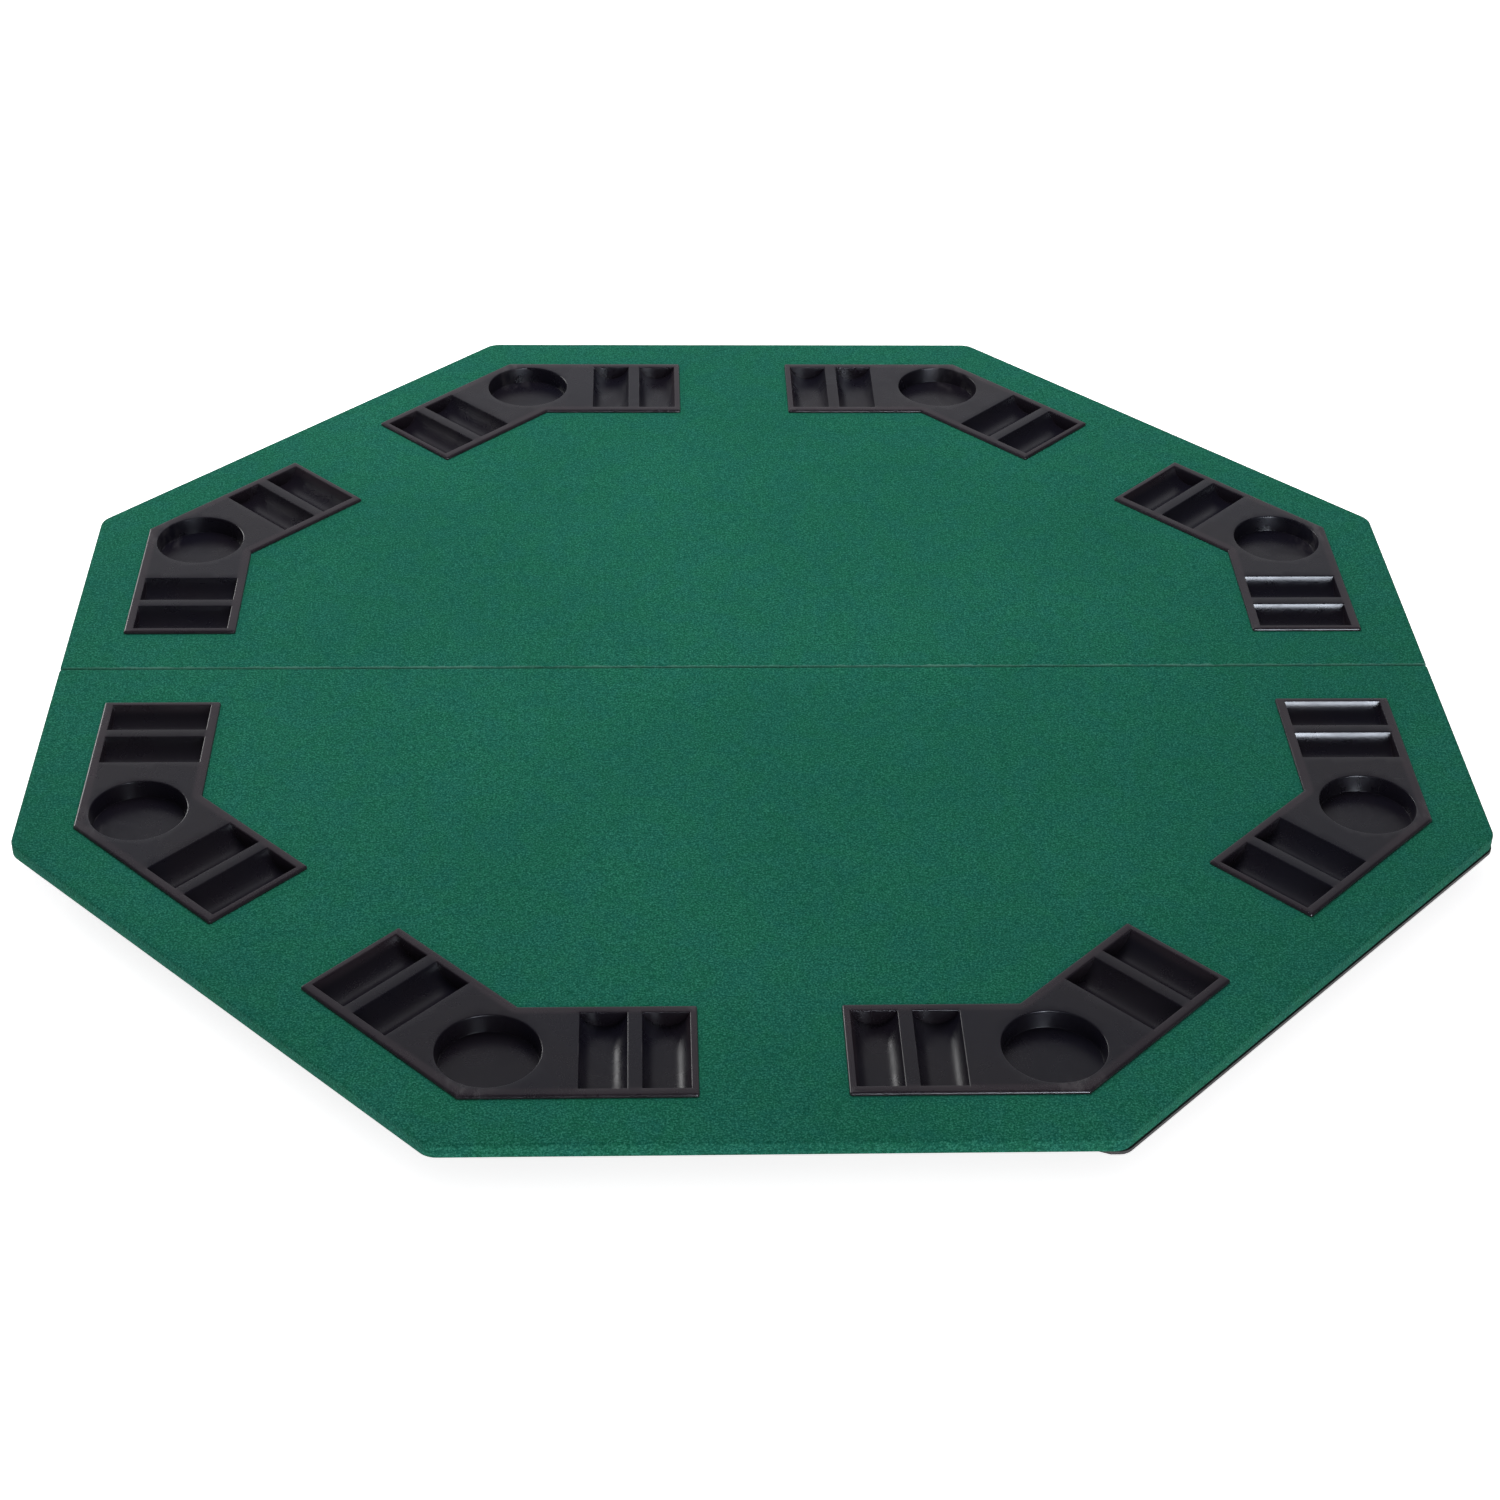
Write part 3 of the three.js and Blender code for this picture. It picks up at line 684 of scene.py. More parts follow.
def make_tray_mesh():
    """One tray, with the table's centre at the origin and the tray's corner on +Y."""
    build = Builder()
    flank = []
    for k in range(7):
        angle = math.pi / 2 * k / 6
        flank.append((FLANK * (1 - math.sin(angle)), TRAY_TOP - FLANK * (1 - math.cos(angle))))
    flank.append((0, FELT_TOP - PRESS + 0.1 * MM))
    outlines = [[(p.x, p.y, height) for p in tray_outline(inset)] for inset, height in flank]
    cup = cup_profile()
    around = [2 * math.pi * k / CUP_STEPS for k in range(CUP_STEPS)]
    cup_ring = [(cup[0][0] * math.cos(a), CUP_PLACE + cup[0][0] * math.sin(a), TRAY_TOP) for a in around]
    pitch = 2 * math.sqrt(TROUGH_RADIUS ** 2 - AXIS_RISE ** 2) + TROUGH_DIVIDER
    first = TRAY_LENGTH - TROUGH_END_BORDER - (pitch - TROUGH_DIVIDER) / 2
    places = [trough_frame(side, first - i * pitch) for side in (-1, 1) for i in (0, 1)]
    mouths = [[tuple(place @ Vector(p)) for p in trough_loops()[0][0]] for place in places]
    crown = [[tuple(p) for p in tray_outline(FLANK + step)] for step in (0.8 * MM, 1.9 * MM)]
    points, faces = fill(outlines[0], [cup_ring, *mouths], 7 * MM, crown)
    index = build.add([(x, y, TRAY_TOP) for x, y in points])
    build.faces += [tuple(index[i] for i in face) for face in faces]
    previous = index[:len(outlines[0])]
    for outline in outlines[1:]:
        current = build.add(outline)
        build.strip(previous, current)
        previous = current
    start = len(outlines[0])
    previous = index[start:start + CUP_STEPS]
    for radius, height in cup[1:]:
        current = build.add([
            (radius * math.cos(a), CUP_PLACE + radius * math.sin(a), TRAY_TOP + height) for a in around
        ])
        build.strip(previous, current)
        previous = current
    middle = build.add([(0, CUP_PLACE, TRAY_TOP - CUP_DEPTH)])[0]
    build.faces += [(previous[k], previous[(k + 1) % CUP_STEPS], middle) for k in range(CUP_STEPS)]
    start += CUP_STEPS
    for place, mouth in zip(places, mouths):
        add_trough(build, place, index[start:start + len(mouth)])
        start += len(mouth)
    mesh = build.mesh("tray")
    face_up(mesh, 0)
    where = np.array([v.co for v in mesh.vertices])
    rim = distance_to(where[:, :2], np.array([p[:2] for p in outlines[-1]]))
    mesh.attributes.new("rim", "FLOAT", "POINT").data.foreach_set("value", rim)
    # The plate falls away a little towards its border.
    fall = 0.3 * MM * np.clip(1 - rim / (6 * MM), 0, 1) ** 2 * (where[:, 2] > TRAY_TOP - FLANK)
    where[:, 2] -= fall
    mesh.vertices.foreach_set("co", where.ravel())
    return mesh


def make_trays(material):
    mesh = make_tray_mesh()
    local = mesh.uv_layers.new(name="local")
    for loop in mesh.loops:
        local.data[loop.index].uv = mesh.vertices[loop.vertex_index].co.xy
    smooth(mesh)
    for node, eighth in TRAY_CORNERS.items():
        own = mesh.copy()
        own.transform(Matrix.Rotation(eighth * HALF_CORNER - math.pi / 2, 4, "Z"))
        piece = thicken(link(f"{node}_moulding", own), TRAY_SKIN)
        leaf = "rear_leaf" if eighth < 8 else "front_leaf"
        attach(piece, leaf, [node], material)


# ---- Hinges, screws, hooks and feet ----

def make_screw():
    """A countersunk screw, point up, its head flush with the underside of the hinge."""
    face = UNDERSIDE - HINGE_THICKNESS
    profile = [
        (0, face), (2.55 * MM, face), (2.82 * MM, face + 0.12 * MM), (2.9 * MM, face + 0.3 * MM),
        (1.5 * MM, UNDERSIDE - 0.1 * MM), (1.5 * MM, face + 9 * MM), (0, face + 12 * MM),
    ]
    piece = turned("screw", profile, 40)
    for turn in (0.0, math.pi / 2):
        arm = prism("recess", [(-1.7 * MM, -0.42 * MM), (1.7 * MM, -0.42 * MM), (1.7 * MM, 0.42 * MM),
                               (-1.7 * MM, 0.42 * MM)], face - 1 * MM, face + 1.1 * MM)
        arm.data.transform(Matrix.Rotation(turn, 4, "Z"))
        boolean(piece, arm, "DIFFERENCE")
    return take_mesh(piece)


def take_mesh(piece):
    """A finished piece's mesh, without the slivers that cutting leaves."""
    mesh = piece.data
    work = bmesh.new()
    work.from_mesh(mesh)
    bmesh.ops.remove_doubles(work, verts=work.verts, dist=SLIVER)
    bmesh.ops.dissolve_degenerate(work, edges=work.edges, dist=SLIVER)
    work.to_mesh(mesh)
    work.free()
    smooth(mesh)
    bpy.data.objects.remove(piece)
    return mesh


SLIVER = 0.003 * MM
PIN_HEIGHT = UNDERSIDE - PIN_DROP
HINGE_LENGTH = 60 * MM
HINGE_REACH = 28 * MM
KNUCKLES = 5
KNUCKLE_GAP = 0.3 * MM
HINGE_SCREWS = [(-20 * MM, 16 * MM), (20 * MM, 16 * MM)]


def make_hinge_leaf(outer):
    """One leaf of a hinge centred on the origin, reaching to +Y. The outer kind has the end knuckles."""
    bottom = UNDERSIDE - HINGE_THICKNESS
    half = HINGE_LENGTH / 2
    back = KNUCKLE_RADIUS + KNUCKLE_GAP
    corners = [
        (half, back, 0.2 * MM), (half, HINGE_REACH, 3 * MM), (-half, HINGE_REACH, 3 * MM), (-half, back, 0.2 * MM),
    ]
    piece = prism("hinge", round_outline(corners, [1, 1, 1, 1], 8), bottom, UNDERSIDE)
    apply_modifiers(bevel(piece, 0.22 * MM, 2, math.radians(40)))
    pitch = HINGE_LENGTH / KNUCKLES
    for k in range(0 if outer else 1, KNUCKLES, 2):
        start = -half + k * pitch + (KNUCKLE_GAP / 2 if k > 0 else 0)
        end = -half + (k + 1) * pitch - (KNUCKLE_GAP / 2 if k < KNUCKLES - 1 else 0)
        # The leaf rolls round the pin, so the web is rounded off on the pin's far side.
        web = []
        for step in range(9):
            angle = math.radians(90 + 90 * step / 8)
            web.append((1.2 * MM + 3.0 * MM * math.cos(angle), UNDERSIDE - 3.0 * MM + 3.0 * MM * math.sin(angle)))
        web += [(-1.8 * MM, PIN_HEIGHT + 0.4 * MM), (1.5 * MM, PIN_HEIGHT + 1.2 * MM), (back, bottom + 0.01 * MM),
                (back + 1 * MM, bottom + 0.01 * MM), (back + 1 * MM, UNDERSIDE - 0.01 * MM)]
        block = prism("web", web, start, end)
        block.data.transform(Matrix(((0, 0, 1, 0), (1, 0, 0, 0), (0, 1, 0, 0), (0, 0, 0, 1))))
        boolean(piece, block, "UNION")
        boolean(piece, cylinder_x("knuckle", KNUCKLE_RADIUS, start, end, PIN_HEIGHT, 48), "UNION")
    boolean(piece, cylinder_x("bore", PIN_RADIUS + 0.1 * MM, -half - 5 * MM, half + 5 * MM, PIN_HEIGHT), "DIFFERENCE")
    for x, y in HINGE_SCREWS:
        sink = turned("sink", [
            (0, bottom - 1 * MM), (SCREW_HEAD_RADIUS + 0.3 * MM, bottom - 1 * MM),
            (SCREW_HEAD_RADIUS + 0.3 * MM, bottom), (1.8 * MM, UNDERSIDE - 0.2 * MM), (1.8 * MM, UNDERSIDE + 1 * MM),
            (0, UNDERSIDE + 1 * MM),
        ], 40)
        sink.data.transform(Matrix.Translation((x, y, 0)))
        boolean(piece, sink, "DIFFERENCE")
    return take_mesh(piece)


def make_pin():
    half = HINGE_LENGTH / 2
    profile = [(0, -half - 1.4 * MM), (1.5 * MM, -half - 1.4 * MM), (2.1 * MM, -half - 1.2 * MM),
               (2.4 * MM, -half - 0.7 * MM), (2.4 * MM, -half - 0.25 * MM), (PIN_RADIUS, -half - 0.2 * MM),
               (PIN_RADIUS, half - 0.1 * MM), (1.2 * MM, half + 0.18 * MM), (0, half + 0.2 * MM)]
    piece = turned("pin", profile, 40)
    piece.data.transform(Matrix.Translation((0, 0, PIN_HEIGHT)) @ Matrix.Rotation(math.pi / 2, 4, "Y"))
    return take_mesh(piece)


WASHER_RADIUS = 5.5 * MM
STUD_RADIUS = 2.5 * MM


def make_stud():
    """A stud with a domed, slotted head."""
    head = HOOK_LOW.z - 0.2 * MM
    face = head - 2.2 * MM
    dome = [(0, face)]
    for k in range(1, 8):
        angle = math.radians(90 * k / 7)
        dome.append((5 * MM * math.sin(angle) ** 0.8, head - 0.5 * MM - 1.7 * MM * math.cos(angle)))
    profile = dome + [(5 * MM, head - 0.1 * MM), (4.9 * MM, head), (STUD_RADIUS, head), (STUD_RADIUS, UNDERSIDE),
                      (1.5 * MM, UNDERSIDE + 0.01 * MM), (1.5 * MM, UNDERSIDE + 8 * MM), (0, UNDERSIDE + 11 * MM)]
    piece = turned("stud", profile, 48)
    slot = prism("slot", [(-6 * MM, -0.55 * MM), (6 * MM, -0.55 * MM), (6 * MM, 0.55 * MM), (-6 * MM, 0.55 * MM)],
                 face - 1 * MM, face + 0.9 * MM)
    boolean(piece, slot, "DIFFERENCE")
    return take_mesh(piece)


def make_washer():
    top, low, hole = UNDERSIDE, HOOK_HIGH.z + 0.1 * MM, STUD_RADIUS + 0.4 * MM
    ease = 0.15 * MM
    build = Builder()
    section = [(hole, low + ease), (hole + ease, low), (WASHER_RADIUS - ease, low), (WASHER_RADIUS, low + ease),
               (WASHER_RADIUS, top - ease), (WASHER_RADIUS - ease, top), (hole + ease, top), (hole, top - ease)]
    rings = [build.add([
        (radius * math.cos(2 * math.pi * k / 48), radius * math.sin(2 * math.pi * k / 48), height) for k in range(48)
    ]) for radius, height in section]
    for ring, following in zip(rings, rings[1:] + rings[:1]):
        build.strip(following, ring)
    return take_mesh(link("washer", build.mesh("washer")))


HOOK_REACH = 44 * MM
HOOK_HALF_WIDTH = 6 * MM


def make_hook(side):
    """A swivel hook lying away from the table's middle, with its jaw towards the fold."""
    tip = HOOK_REACH + 8 * MM
    eye, neck, half = 7 * MM, 9 * MM, HOOK_HALF_WIDTH
    outline = round_outline([
        (-eye, -eye, 5 * MM), (neck, -half, 6 * MM), (tip, -half, 4 * MM), (tip, half, 4 * MM),
        (neck, half, 6 * MM), (-eye, eye, 5 * MM),
    ], [1] * 6, 10)
    piece = prism("hook", outline, HOOK_LOW.z, HOOK_HIGH.z)
    apply_modifiers(bevel(piece, 0.3 * MM, 3, math.radians(40)))
    jaw = STUD_RADIUS + 0.4 * MM
    throat = prism("throat", [(HOOK_REACH - jaw, 0), (HOOK_REACH - jaw - 1.6 * MM, -2 * half),
                              (HOOK_REACH + jaw, -2 * half), (HOOK_REACH + jaw, 0)], 0, FOOT_HIGH.z)
    boolean(piece, throat, "DIFFERENCE")
    for x in (0, HOOK_REACH):
        hole = turned("hole", [(0, 0), (jaw, 0), (jaw, FOOT_HIGH.z), (0, FOOT_HIGH.z)], 48)
        hole.data.transform(Matrix.Translation((x, 0, 0)))
        boolean(piece, hole, "DIFFERENCE")
    if side < 0:
        piece.data.transform(Matrix.Scale(-1, 4, (1, 0, 0)))
        piece.data.flip_normals()
    return take_mesh(piece)


def make_foot():
    """A rubber foot with rounded edges, a ring groove and a dimple."""
    height, wide = FOOT_HIGH.z, (FOOT_HIGH.x - FOOT_LOW.x) / 2
    low = wide - 1 * MM
    profile = [(0, 1.6 * MM), (2.2 * MM, 1.6 * MM), (2.7 * MM, 1.3 * MM), (3.2 * MM, 0.3 * MM), (3.6 * MM, 0.05 * MM),
               (4.0 * MM, 0), (5.9 * MM, 0), (6.1 * MM, 0.1 * MM), (6.3 * MM, 0.5 * MM), (6.7 * MM, 0.5 * MM),
               (6.9 * MM, 0.1 * MM), (7.1 * MM, 0)]
    for k in range(6):
        angle = math.radians(-90 + 85 * k / 5)
        profile.append((low - 1.3 * MM + 1.3 * MM * math.cos(angle), 1.3 * MM + 1.3 * MM * math.sin(angle)))
    profile += [(wide - 0.05 * MM, height - 0.5 * MM), (wide - 0.3 * MM, height), (0, height)]
    return take_mesh(turned("foot", profile, 64))


# ---- Looks ----

class Look:
    """A material built node by node."""

    def __init__(self, name):
        self.material = bpy.data.materials.new(name)
        self.material.use_nodes = True
        self.tree = self.material.node_tree
        self.tree.nodes.clear()
        self.output = self.tree.nodes.new("ShaderNodeOutputMaterial")
        self.surface = self.tree.nodes.new("ShaderNodeBsdfPrincipled")
        self.tree.links.new(self.surface.outputs[0], self.output.inputs["Surface"])
        coordinates = self.tree.nodes.new("ShaderNodeTexCoord")
        self.place = coordinates.outputs["Object"]
        self.uv = coordinates.outputs["UV"]

    def feed(self, socket, value):
        if isinstance(value, bpy.types.NodeSocket):
            self.tree.links.new(value, socket)
        elif isinstance(value, (tuple, list)) and len(value) == 3 and len(getattr(socket, "default_value", ())) == 4:
            socket.default_value = (*value, 1.0)
        else:
            socket.default_value = value

    def node(self, kind, inputs=(), output=0, **settings):
        made = self.tree.nodes.new("ShaderNode" + kind)
        for key, value in settings.items():
            setattr(made, key, value)
        for key, value in dict(inputs).items():
            self.feed(made.inputs[key], value)
        return made.outputs[output]

    def scaled(self, vector, scale, turn=0.0):
        return self.node("Mapping", {"Vector": vector, "Scale": scale, "Rotation": (0, 0, turn)})

    def noise(self, vector, scale, detail=2.0, roughness=0.5, distortion=0.0):
        return self.node("TexNoise", {"Vector": vector, "Scale": scale, "Detail": detail, "Roughness": roughness,
                                      "Distortion": distortion})

    def cells(self, vector, scale):
        return self.node("TexVoronoi", {"Vector": vector, "Scale": scale})

    def math(self, operation, first, second=0.0, clamp=False):
        return self.node("Math", {0: first, 1: second}, operation=operation, use_clamp=clamp)

    def span(self, value, low, high, to_low=0.0, to_high=1.0):
        return self.node("MapRange", {"Value": value, "From Min": low, "From Max": high, "To Min": to_low,
                                      "To Max": to_high}, interpolation_type="SMOOTHSTEP")

    def mix(self, share, first, second, blend="MIX"):
        made = self.tree.nodes.new("ShaderNodeMix")
        made.data_type = "RGBA"
        made.blend_type = blend
        self.feed(made.inputs[0], share)
        self.feed(made.inputs[6], first)
        self.feed(made.inputs[7], second)
        return made.outputs[2]

    def bump(self, height, distance, strength=1.0, normal=None):
        inputs = {"Height": height, "Distance": distance, "Strength": strength}
        if normal is not None:
            inputs["Normal"] = normal
        return self.node("Bump", inputs)

    def edge(self):
        """Higher on outer edges, where things wear."""
        geometry = self.tree.nodes.new("ShaderNodeNewGeometry")
        return geometry.outputs["Pointiness"]

    def finish(self, **inputs):
        names = {"color": "Base Color", "roughness": "Roughness", "normal": "Normal", "metallic": "Metallic",
                 "specular": "Specular IOR Level", "sheen": "Sheen Weight", "sheen_roughness": "Sheen Roughness",
                 "sheen_tint": "Sheen Tint", "coat": "Coat Weight", "coat_roughness": "Coat Roughness"}
        for key, value in inputs.items():
            self.feed(self.surface.inputs[names[key]], value)
        return self.material


def felt_look():
    look = Look("green_felt")
    fibres = None
    for turn, seed in ((0.15, 1.0), (1.25, 2.0), (2.3, 3.0)):
        strokes = look.noise(look.scaled(look.place, (170 * seed ** 0.2, 1100, 600), turn), 1.0, 2.0, 0.6, 0.4)
        fibres = strokes if fibres is None else look.math("MAXIMUM", fibres, strokes)
    fibres = look.span(fibres, 0.42, 0.78)
    speckle = look.noise(look.place, 640.0, 2.0, 0.7)
    clumps = look.noise(look.scaled(look.place, (210, 300, 260), 0.2), 1.0, 3.0, 0.65)
    patches = look.noise(look.place, 33.0, 3.0, 0.55, 0.3)
    broad = look.noise(look.place, 3.2, 2.0, 0.5)
    green = look.mix(look.span(patches, 0.36, 0.66), FELT_GREEN, FELT_BLUE_GREEN)
    green = look.mix(look.span(clumps, 0.38, 0.66, 0.0, 0.55), green, FELT_DEEP)
    green = look.mix(look.span(speckle, 0.5, 0.34, 0.0, 0.95), green, FELT_DEEP)
    green = look.mix(look.span(speckle, 0.5, 0.68, 0.0, 0.9), green, FELT_LIGHT)
    green = look.mix(look.math("MULTIPLY", fibres, 0.25), green, FELT_LIGHT)
    green = look.mix(look.span(broad, 0.35, 0.65, 0.0, 0.16), green, FELT_DEEP)
    # Painted highlight: a pale, ragged band 1.4 to 3 mm wide along the fold on the rear leaf's top, where its rolled
    # edge catches the light.
    place = look.node("SeparateXYZ", {0: look.place}, 0)
    parts = place.node
    across = look.math("ABSOLUTE", parts.outputs["Y"])
    ragged = look.noise(look.scaled(look.place, (70, 1, 1)), 1.0, 3.0, 0.6)
    width = look.span(ragged, 0.3, 0.7, 1.4 * MM, 3.0 * MM)
    seam = look.math("LESS_THAN", across, width)
    rear = look.math("GREATER_THAN", parts.outputs["Y"], 0.0)
    top = look.math("GREATER_THAN", parts.outputs["Z"], FELT_TOP - 2.4 * MM)
    faint = look.span(look.noise(look.scaled(look.place, (9, 1, 1)), 1.0, 2.0, 0.5), 0.3, 0.7, 0.12, 0.36)
    wear_and_seam_highlight = look.math("MULTIPLY", look.math("MULTIPLY", seam, top), look.math("MULTIPLY", rear, faint))
    green = look.mix(wear_and_seam_highlight, green, FELT_SEAM_HIGHLIGHT)
    height = look.math("ADD", look.math("MULTIPLY", fibres, 0.6), look.math("MULTIPLY", speckle, 0.5))
    normal = look.bump(height, 0.35 * MM, 0.75)
    normal = look.bump(clumps, 0.5 * MM, 0.35, normal)
    return look.finish(color=green, roughness=0.95, normal=normal, specular=0.06, sheen=0.04, sheen_roughness=0.5,
                       sheen_tint=(0.35, 0.8, 0.65))


FELT_GREEN = (0.0062, 0.096, 0.050)
FELT_BLUE_GREEN = (0.0062, 0.088, 0.064)
FELT_DEEP = (0.0009, 0.048, 0.029)
FELT_LIGHT = (0.030, 0.180, 0.124)
FELT_SEAM_HIGHLIGHT = (0.16, 0.34, 0.28)


def plastic_look():
    look = Look("moulded_black_plastic")
    grain = look.noise(look.place, 1500.0, 3.0, 0.7)
    swirl = look.noise(look.place, 26.0, 4.0, 0.6, 1.2)
    mottle = look.noise(look.place, 9.0, 3.0, 0.5)
    scratches = look.noise(look.scaled(look.place, (60, 1500, 60), 0.7), 1.0, 2.0, 0.6)
    crossing = look.noise(look.scaled(look.place, (1300, 45, 60), 0.25), 1.0, 2.0, 0.6)
    scuffs = look.math("MAXIMUM", look.span(scratches, 0.7, 0.78), look.span(crossing, 0.71, 0.79))
    patchy = look.span(look.noise(look.place, 17.0, 2.0, 0.5), 0.5, 0.72)
    scuffs = look.math("MULTIPLY", scuffs, patchy)
    wear_and_seam_highlight = look.math("MULTIPLY", look.span(look.edge(), 0.515, 0.56), look.span(swirl, 0.3, 0.7, 0.25, 1.0))
    # Painted highlight: the plate is mixed lighter and warmer within 6 to 10 mm of its outer edge, where the sloping
    # border catches the light.
    border = look.node("Attribute", attribute_name="rim", output="Fac")
    border = look.math("MULTIPLY", look.span(border, 10 * MM, 6 * MM), look.span(mottle, 0.3, 0.7, 0.55, 1.0))
    color = look.mix(look.span(mottle, 0.35, 0.65), PLASTIC_COOL, PLASTIC_WARM)
    color = look.mix(border, color, PLASTIC_BORDER_HIGHLIGHT)
    color = look.mix(look.math("MULTIPLY", scuffs, 0.5), color, PLASTIC_SCUFF)
    color = look.mix(look.math("MULTIPLY", wear_and_seam_highlight, 0.35), color, PLASTIC_SCUFF)
    # Hands and glasses wear the plate most beside the cup, at the tray's outer corner.
    reach = look.node("VectorMath", {0: look.uv, 1: (0.0, TRAY_CORNER - 9 * MM, 0.0)}, 1, operation="DISTANCE")
    smears = look.noise(look.scaled(look.place, (120, 45, 60), 0.3), 1.0, 3.0, 0.6)
    rubbed = look.math("MULTIPLY", look.span(reach, 30 * MM, 6 * MM), look.span(smears, 0.42, 0.7))
    color = look.mix(look.math("MULTIPLY", rubbed, 0.4), color, PLASTIC_SCUFF)
    roughness = look.span(swirl, 0.3, 0.7, 0.25, 0.34)
    roughness = look.math("ADD", roughness, look.math("MULTIPLY", scuffs, 0.18))
    roughness = look.math("ADD", roughness, look.math("MULTIPLY", wear_and_seam_highlight, 0.08))
    normal = look.bump(grain, 0.05 * MM, 0.5)
    normal = look.bump(swirl, 0.5 * MM, 0.12, normal)
    return look.finish(color=color, roughness=roughness, normal=normal, specular=0.5)


PLASTIC_COOL = (0.0058, 0.0053, 0.0098)
PLASTIC_WARM = (0.0076, 0.0061, 0.0095)
PLASTIC_BORDER_HIGHLIGHT = (0.0205, 0.0152, 0.0200)
PLASTIC_SCUFF = (0.075, 0.07, 0.075)


def fibreboard_look():
    look = Look("raw_fibreboard")
    fine = look.noise(look.place, 900.0, 4.0, 0.75)
    layers = look.noise(look.scaled(look.place, (60, 60, 2600)), 1.0, 3.0, 0.6)
    chips = look.cells(look.place, 420.0)
    color = look.mix(look.span(fine, 0.3, 0.7), (0.30, 0.19, 0.10), (0.47, 0.33, 0.19))
    color = look.mix(look.span(layers, 0.4, 0.7, 0.0, 0.4), color, (0.22, 0.13, 0.07))
    color = look.mix(look.span(chips, 0.0, 0.45, 0.35, 0.0), color, (0.55, 0.41, 0.25))
    color = look.mix(look.span(look.edge(), 0.52, 0.6, 0.0, 0.5), color, (0.6, 0.46, 0.3))
    normal = look.bump(fine, 0.25 * MM, 0.7)
    return look.finish(color=color, roughness=look.span(fine, 0.2, 0.8, 0.78, 0.94), normal=normal, specular=0.2)


def hardboard_look():
    look = Look("painted_hardboard")
    screen = look.math("MULTIPLY",
                       look.math("SINE", look.node("SeparateXYZ", {0: look.scaled(look.place, (3100, 3100, 3100))})),
                       1.0)
    parts = look.node("SeparateXYZ", {0: look.scaled(look.place, (3100, 3100, 3100))}).node
    rows = look.math("SINE", parts.outputs["Y"])
    weave = look.math("MULTIPLY", screen, rows)
    blotch = look.noise(look.place, 7.0, 4.0, 0.6, 0.4)
    fine = look.noise(look.place, 700.0, 3.0, 0.7)
    rubbed = look.noise(look.scaled(look.place, (3.0, 90.0, 40.0), 0.3), 1.0, 4.0, 0.7)
    rubbed = look.span(rubbed, 0.6, 0.74, 0.0, 0.5)
    color = look.mix(look.span(blotch, 0.3, 0.7), (0.010, 0.010, 0.011), (0.021, 0.020, 0.020))
    color = look.mix(rubbed, color, (0.055, 0.048, 0.040))
    color = look.mix(look.span(look.edge(), 0.54, 0.62, 0.0, 0.3), color, (0.05, 0.036, 0.024))
    roughness = look.span(blotch, 0.3, 0.7, 0.5, 0.7)
    normal = look.bump(weave, 0.06 * MM, 0.6)
    normal = look.bump(fine, 0.12 * MM, 0.5, normal)
    return look.finish(color=color, roughness=roughness, normal=normal, specular=0.4)


def steel_look():
    look = Look("zinc_plated_steel")
    brushed = look.noise(look.scaled(look.place, (90, 2600, 900)), 1.0, 3.0, 0.6)
    cloud = look.noise(look.place, 95.0, 3.0, 0.55)
    spots = look.noise(look.place, 800.0, 2.0, 0.6)
    color = look.mix(look.span(cloud, 0.35, 0.65), (0.50, 0.51, 0.54), (0.60, 0.585, 0.54))
    color = look.mix(look.span(spots, 0.62, 0.72, 0.0, 0.5), color, (0.27, 0.26, 0.245))
    roughness = look.span(brushed, 0.3, 0.7, 0.24, 0.42)
    roughness = look.math("ADD", roughness, look.span(cloud, 0.5, 0.8, 0.0, 0.15))
    normal = look.bump(brushed, 0.04 * MM, 0.6)
    return look.finish(color=color, roughness=roughness, normal=normal, metallic=1.0)


def rubber_look():
    look = Look("moulded_rubber")
    fine = look.noise(look.place, 1700.0, 3.0, 0.7)
    dust = look.noise(look.place, 240.0, 4.0, 0.7)
    color = look.mix(look.span(dust, 0.5, 0.75, 0.0, 0.7), (0.012, 0.012, 0.012), (0.05, 0.047, 0.043))
    color = look.mix(look.span(look.edge(), 0.53, 0.62, 0.0, 0.5), color, (0.06, 0.057, 0.053))
    return look.finish(color=color, roughness=look.span(fine, 0.2, 0.8, 0.72, 0.9),
                       normal=look.bump(fine, 0.15 * MM, 0.6), specular=0.25)


def foam_look():
    look = Look("open_cell_foam")
    pores = look.cells(look.place, 950.0)
    tone = look.noise(look.place, 60.0, 3.0, 0.6)
    color = look.mix(look.span(pores, 0.1, 0.5), (0.02, 0.02, 0.021), (0.07, 0.07, 0.072))
    color = look.mix(look.span(tone, 0.4, 0.7, 0.0, 0.4), color, (0.09, 0.088, 0.08))
    return look.finish(color=color, roughness=0.95, normal=look.bump(pores, 0.4 * MM, 0.9), specular=0.1)


# ---- Assembly ----

FELT = felt_look()
PLASTIC = plastic_look()
FIBREBOARD = fibreboard_look()
HARDBOARD = hardboard_look()
STEEL = steel_look()
RUBBER = rubber_look()
FOAM = foam_look()

for node, cover in zip(("felt_cover_rear", "felt_cover_front"), make_leaf_cloth()):
    smooth(cover.data, math.radians(60))
    attach(cover, "rear_leaf" if node.endswith("rear") else "front_leaf", [node], FELT)
for node, pad in zip(("foam_pad_rear", "foam_pad_front"), make_foam()):
    smooth(pad.data, math.radians(60))
    attach(pad, "rear_leaf" if node.endswith("rear") else "front_leaf", [node], FOAM)

